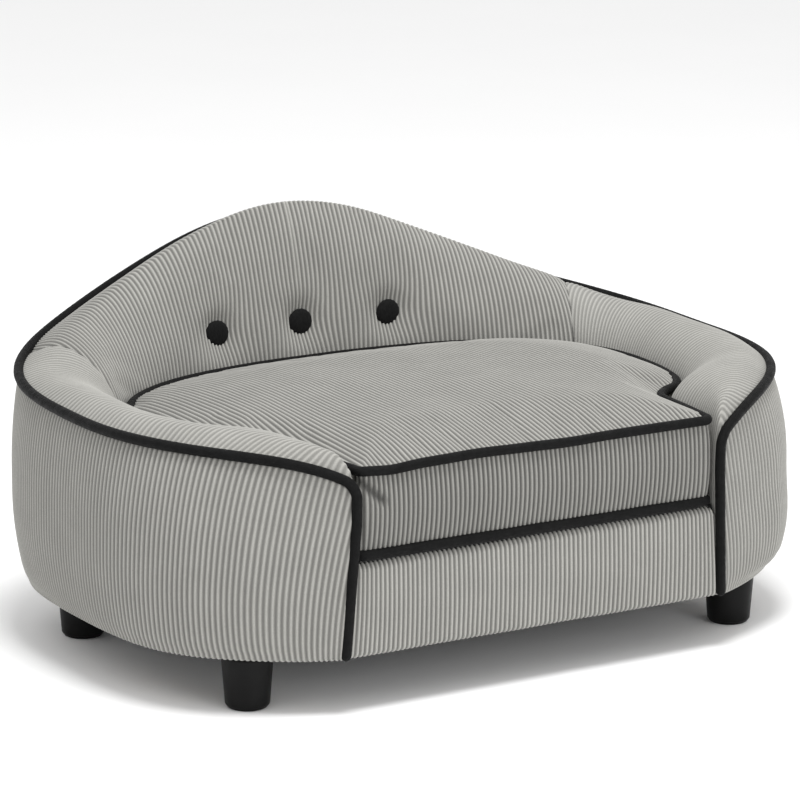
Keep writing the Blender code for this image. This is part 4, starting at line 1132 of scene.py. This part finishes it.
def crease(points):
    """A soft fold that runs down from the top left front corner of the boxing; the boxing is also
    darkened along it, as painted shade.
    """
    length = np.linalg.norm(CREASE_END - CREASE_START)
    run = (CREASE_END - CREASE_START) / length
    away = points[:, :, [0, 2]] - CREASE_START
    along, across = away @ run, away @ np.array([-run[1], run[0]])
    fade = near(unit(np.abs(along - length / 2) - length / 3), 0, CREASE_FADE)
    front = points[:, :, 1] < CUSHION_FRONT_Y + 0.01
    return fade * front * near(across, 0, CREASE_WIDTH)


def build_boxing(seam):
    ring = np.concatenate([seam, seam[:1]])
    lengths = lengths_along(ring)
    ribs = round(lengths[-1] / CUSHION_PITCH)
    phases = np.concatenate([number + RIB_STEPS for number in range(ribs)])
    line = point_at(ring, lengths, phases / ribs * lengths[-1])
    ahead, behind = (np.roll(line, shift, axis=0) for shift in (-len(RIB_STEPS), len(RIB_STEPS)))
    tangent = (ahead - behind) / np.linalg.norm(ahead - behind, axis=1)[:, None]
    out = stacked(-tangent[:, 1], tangent[:, 0])
    if (out[0] @ line[0]) < 0:
        out = -out
    share = np.linspace(0, 1, BOXING_ROWS)[None, :]
    heights = CUSHION_PIPING_LOW + (CUSHION_PIPING_HIGH - CUSHION_PIPING_LOW) * share + 0 * line[:, :1]
    bulge = BOXING_BULGE * np.sin(np.pi * share) ** 0.7 - BOXING_SUNK
    plan = line[:, None, :] + out[:, None, :] * (bulge + 0 * heights)[:, :, None]
    points = np.concatenate([plan, heights[:, :, None]], axis=2)
    points[:, :, 2] += share * piping_wave(line[:, :1], line[:, 1:])
    fold = crease(points)
    swell = cloth_swell(points, size=0.045, height=0.0012, seed=9)
    points[:, :, :2] += out[:, None, :] * swell[:, :, None]
    profile = rib_profile(phases)[:, None] + 0 * heights
    columns = np.append(np.arange(0, len(line), len(RIB_STEPS)), len(line) - 1)
    rows = np.append(np.arange(0, BOXING_ROWS, 2), BOXING_ROWS - 1)
    outward = facing(points, 10, (*out[len(line) // 2], 0))
    points = settled(points, 0 * heights, columns, rows, CUSHION_PRESSURE * outward, between=straight)
    relief = RIB_HEIGHT * (profile - 0.5) - CREASE_DEPTH * fold
    points[:, :, :2] += out[:, None, :] * relief[:, :, None]
    inner = line[:, None, :] - out[:, None, :] * BOXING_THICKNESS + 0 * heights[:, :2, None]
    ends = heights[:, [-1, 0]]
    rings = np.concatenate([points, np.concatenate([inner, ends[:, :, None]], axis=2)], axis=1)
    # Along the crease the ribs take the groove colour: painted shade in the fold.
    piece = swept("cushion_boxing_band", rings, BOXING_SHADED_CLOTH, profile * (1 - fold), closed=True)
    settle(piece, "cushion", "corduroy_cushion", "cushion_boxing")


# ---- Feet ----
FOOT_TIP_RADIUS = 0.019
FOOT_SOLE = [  # how far inside that radius, and how high
    (0.0035, 0.0), (0.0022, 0.0006), (0.0016, 0.0014),
    (0.0014, 0.0022), (0.0006, 0.0026), (0.0001, 0.0034),
]


def build_feet():
    for place in ("front_left", "front_right", "back_left", "back_right"):
        low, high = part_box("foot_" + place)
        centre = ((low.x + high.x) / 2, (low.y + high.y) / 2, 0.0)
        top, wide, narrow = high.z, (high.x - low.x) / 2, FOOT_TIP_RADIUS
        profile = [(0.0005, 0.0)] + [(narrow - inset, height) for inset, height in FOOT_SOLE]
        for share in np.linspace(0, 1, 8)[:-1]:
            profile.append((narrow + (wide - narrow) * share + 0.0001, 0.0040 + (top - 0.0070) * share))
        profile += [(wide - 0.0001, top - 0.0022), (wide - 0.0004, top - 0.0008)]
        profile += [(wide - 0.0012, top), (0.0005, top)]
        piece = turned("tapered_foot_" + place, profile, centre, FOOT_PLASTIC)
        settle(piece, "frame", "foot_plastic", "foot_" + place)


# ---- CAD nodes that stay, with better materials ----
def dress_cad_nodes():
    looks = [
        (PINE, ("_rail", "_post", "_cleat")), (HARDBOARD, ("_panel",)),
        (PLYWOOD, ("base_board", "deck_board")), (FOAM, ("foam",)), (FIBRE, ("wadding", "core")),
        (LINING, ("dust_cover", "cushion_bottom_cover")),
        (ZIP_TAPE, ("zip_tape",)), (ZIP_METAL, ("zip_slider", "zip_pull")), (ZINC, ("bolt", "tee_nut")),
        (THREAD, ("button_tie",)),
    ]
    for name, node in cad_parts.items():
        for look, parts in looks:
            if any(part in name for part in parts):
                for slot in node.material_slots:
                    slot.material = look


# ---- Stage, light and camera ----
CAMERA_PLACE = (-1.86404, -3.06973, 1.06231)
CAMERA_TURN, CAMERA_DIP, CAMERA_ROLL = -31.26, 13.5, 0.14  # in degrees
CAMERA_LENS, SENSOR_WIDTH = 187.0, 36.0  # in millimetres
FLOOR_SIZE, WORLD_STRENGTH, BED_MIDDLE = 30, 0.86, (0, 0, 0.15)
LAMPS = [("key", (-0.2, -0.6, 2.6), 1.0, 50), ("fill", (0.6, -3.4, 0.9), 2.0, 30)]  # place, size, watts


def build_camera():
    data = bpy.data.cameras.new("camera")
    data.lens, data.sensor_width = CAMERA_LENS, SENSOR_WIDTH
    data.clip_start, data.clip_end = 0.1, 50
    camera = bpy.data.objects.new("camera", data)
    bpy.context.scene.collection.objects.link(camera)
    a, e, r = (math.radians(value) for value in (CAMERA_TURN, CAMERA_DIP, CAMERA_ROLL))
    back = Vector((math.sin(a) * math.cos(e), -math.cos(a) * math.cos(e), math.sin(e)))
    right = Vector((math.cos(a), math.sin(a), 0))
    up = back.cross(right)
    right, up = right * math.cos(r) + up * math.sin(r), up * math.cos(r) - right * math.sin(r)
    turn = Matrix((right, up, back)).transposed()
    camera.matrix_world = Matrix.Translation(CAMERA_PLACE) @ turn.to_4x4()
    bpy.context.scene.camera = camera


def area_light(name, place, size, power):
    data = bpy.data.lights.new(name, "AREA")
    data.shape, data.size, data.energy = "DISK", size, power
    lamp = bpy.data.objects.new(name, data)
    lamp.location = place
    lamp.rotation_euler = (Vector(BED_MIDDLE) - Vector(place)).to_track_quat("-Z", "Y").to_euler()
    bpy.context.scene.collection.objects.link(lamp)


def build_stage():
    look = Look("pale_floor", (0.97, 0.97, 0.97), 0.95, specular=0.05)
    look.color(look.ramp(look.noise(3, 2), (0.3, 0.965), (0.7, 0.975)))
    build = bmesh.new()
    bmesh.ops.create_grid(build, x_segments=2, y_segments=2, size=FLOOR_SIZE)
    mesh = bpy.data.meshes.new("floor")
    build.to_mesh(mesh)
    build.free()
    mesh.materials.append(look.material)
    floor = bpy.data.objects.new("floor", mesh)
    bpy.context.scene.collection.objects.link(floor)
    bpy.context.scene.view_settings.view_transform = "Standard"
    world = bpy.data.worlds.new("studio")
    world.use_nodes = True
    background = world.node_tree.nodes["Background"]
    background.inputs["Color"].default_value = (1, 1, 1, 1)
    background.inputs["Strength"].default_value = WORLD_STRENGTH
    bpy.context.scene.world = world
    for lamp in LAMPS:
        area_light(*lamp)


build_camera()
build_wall()
build_edge_piping()
build_buttons()
build_front()
build_deck()
build_dust_cover()
build_cushion()
build_feet()
dress_cad_nodes()
build_stage()
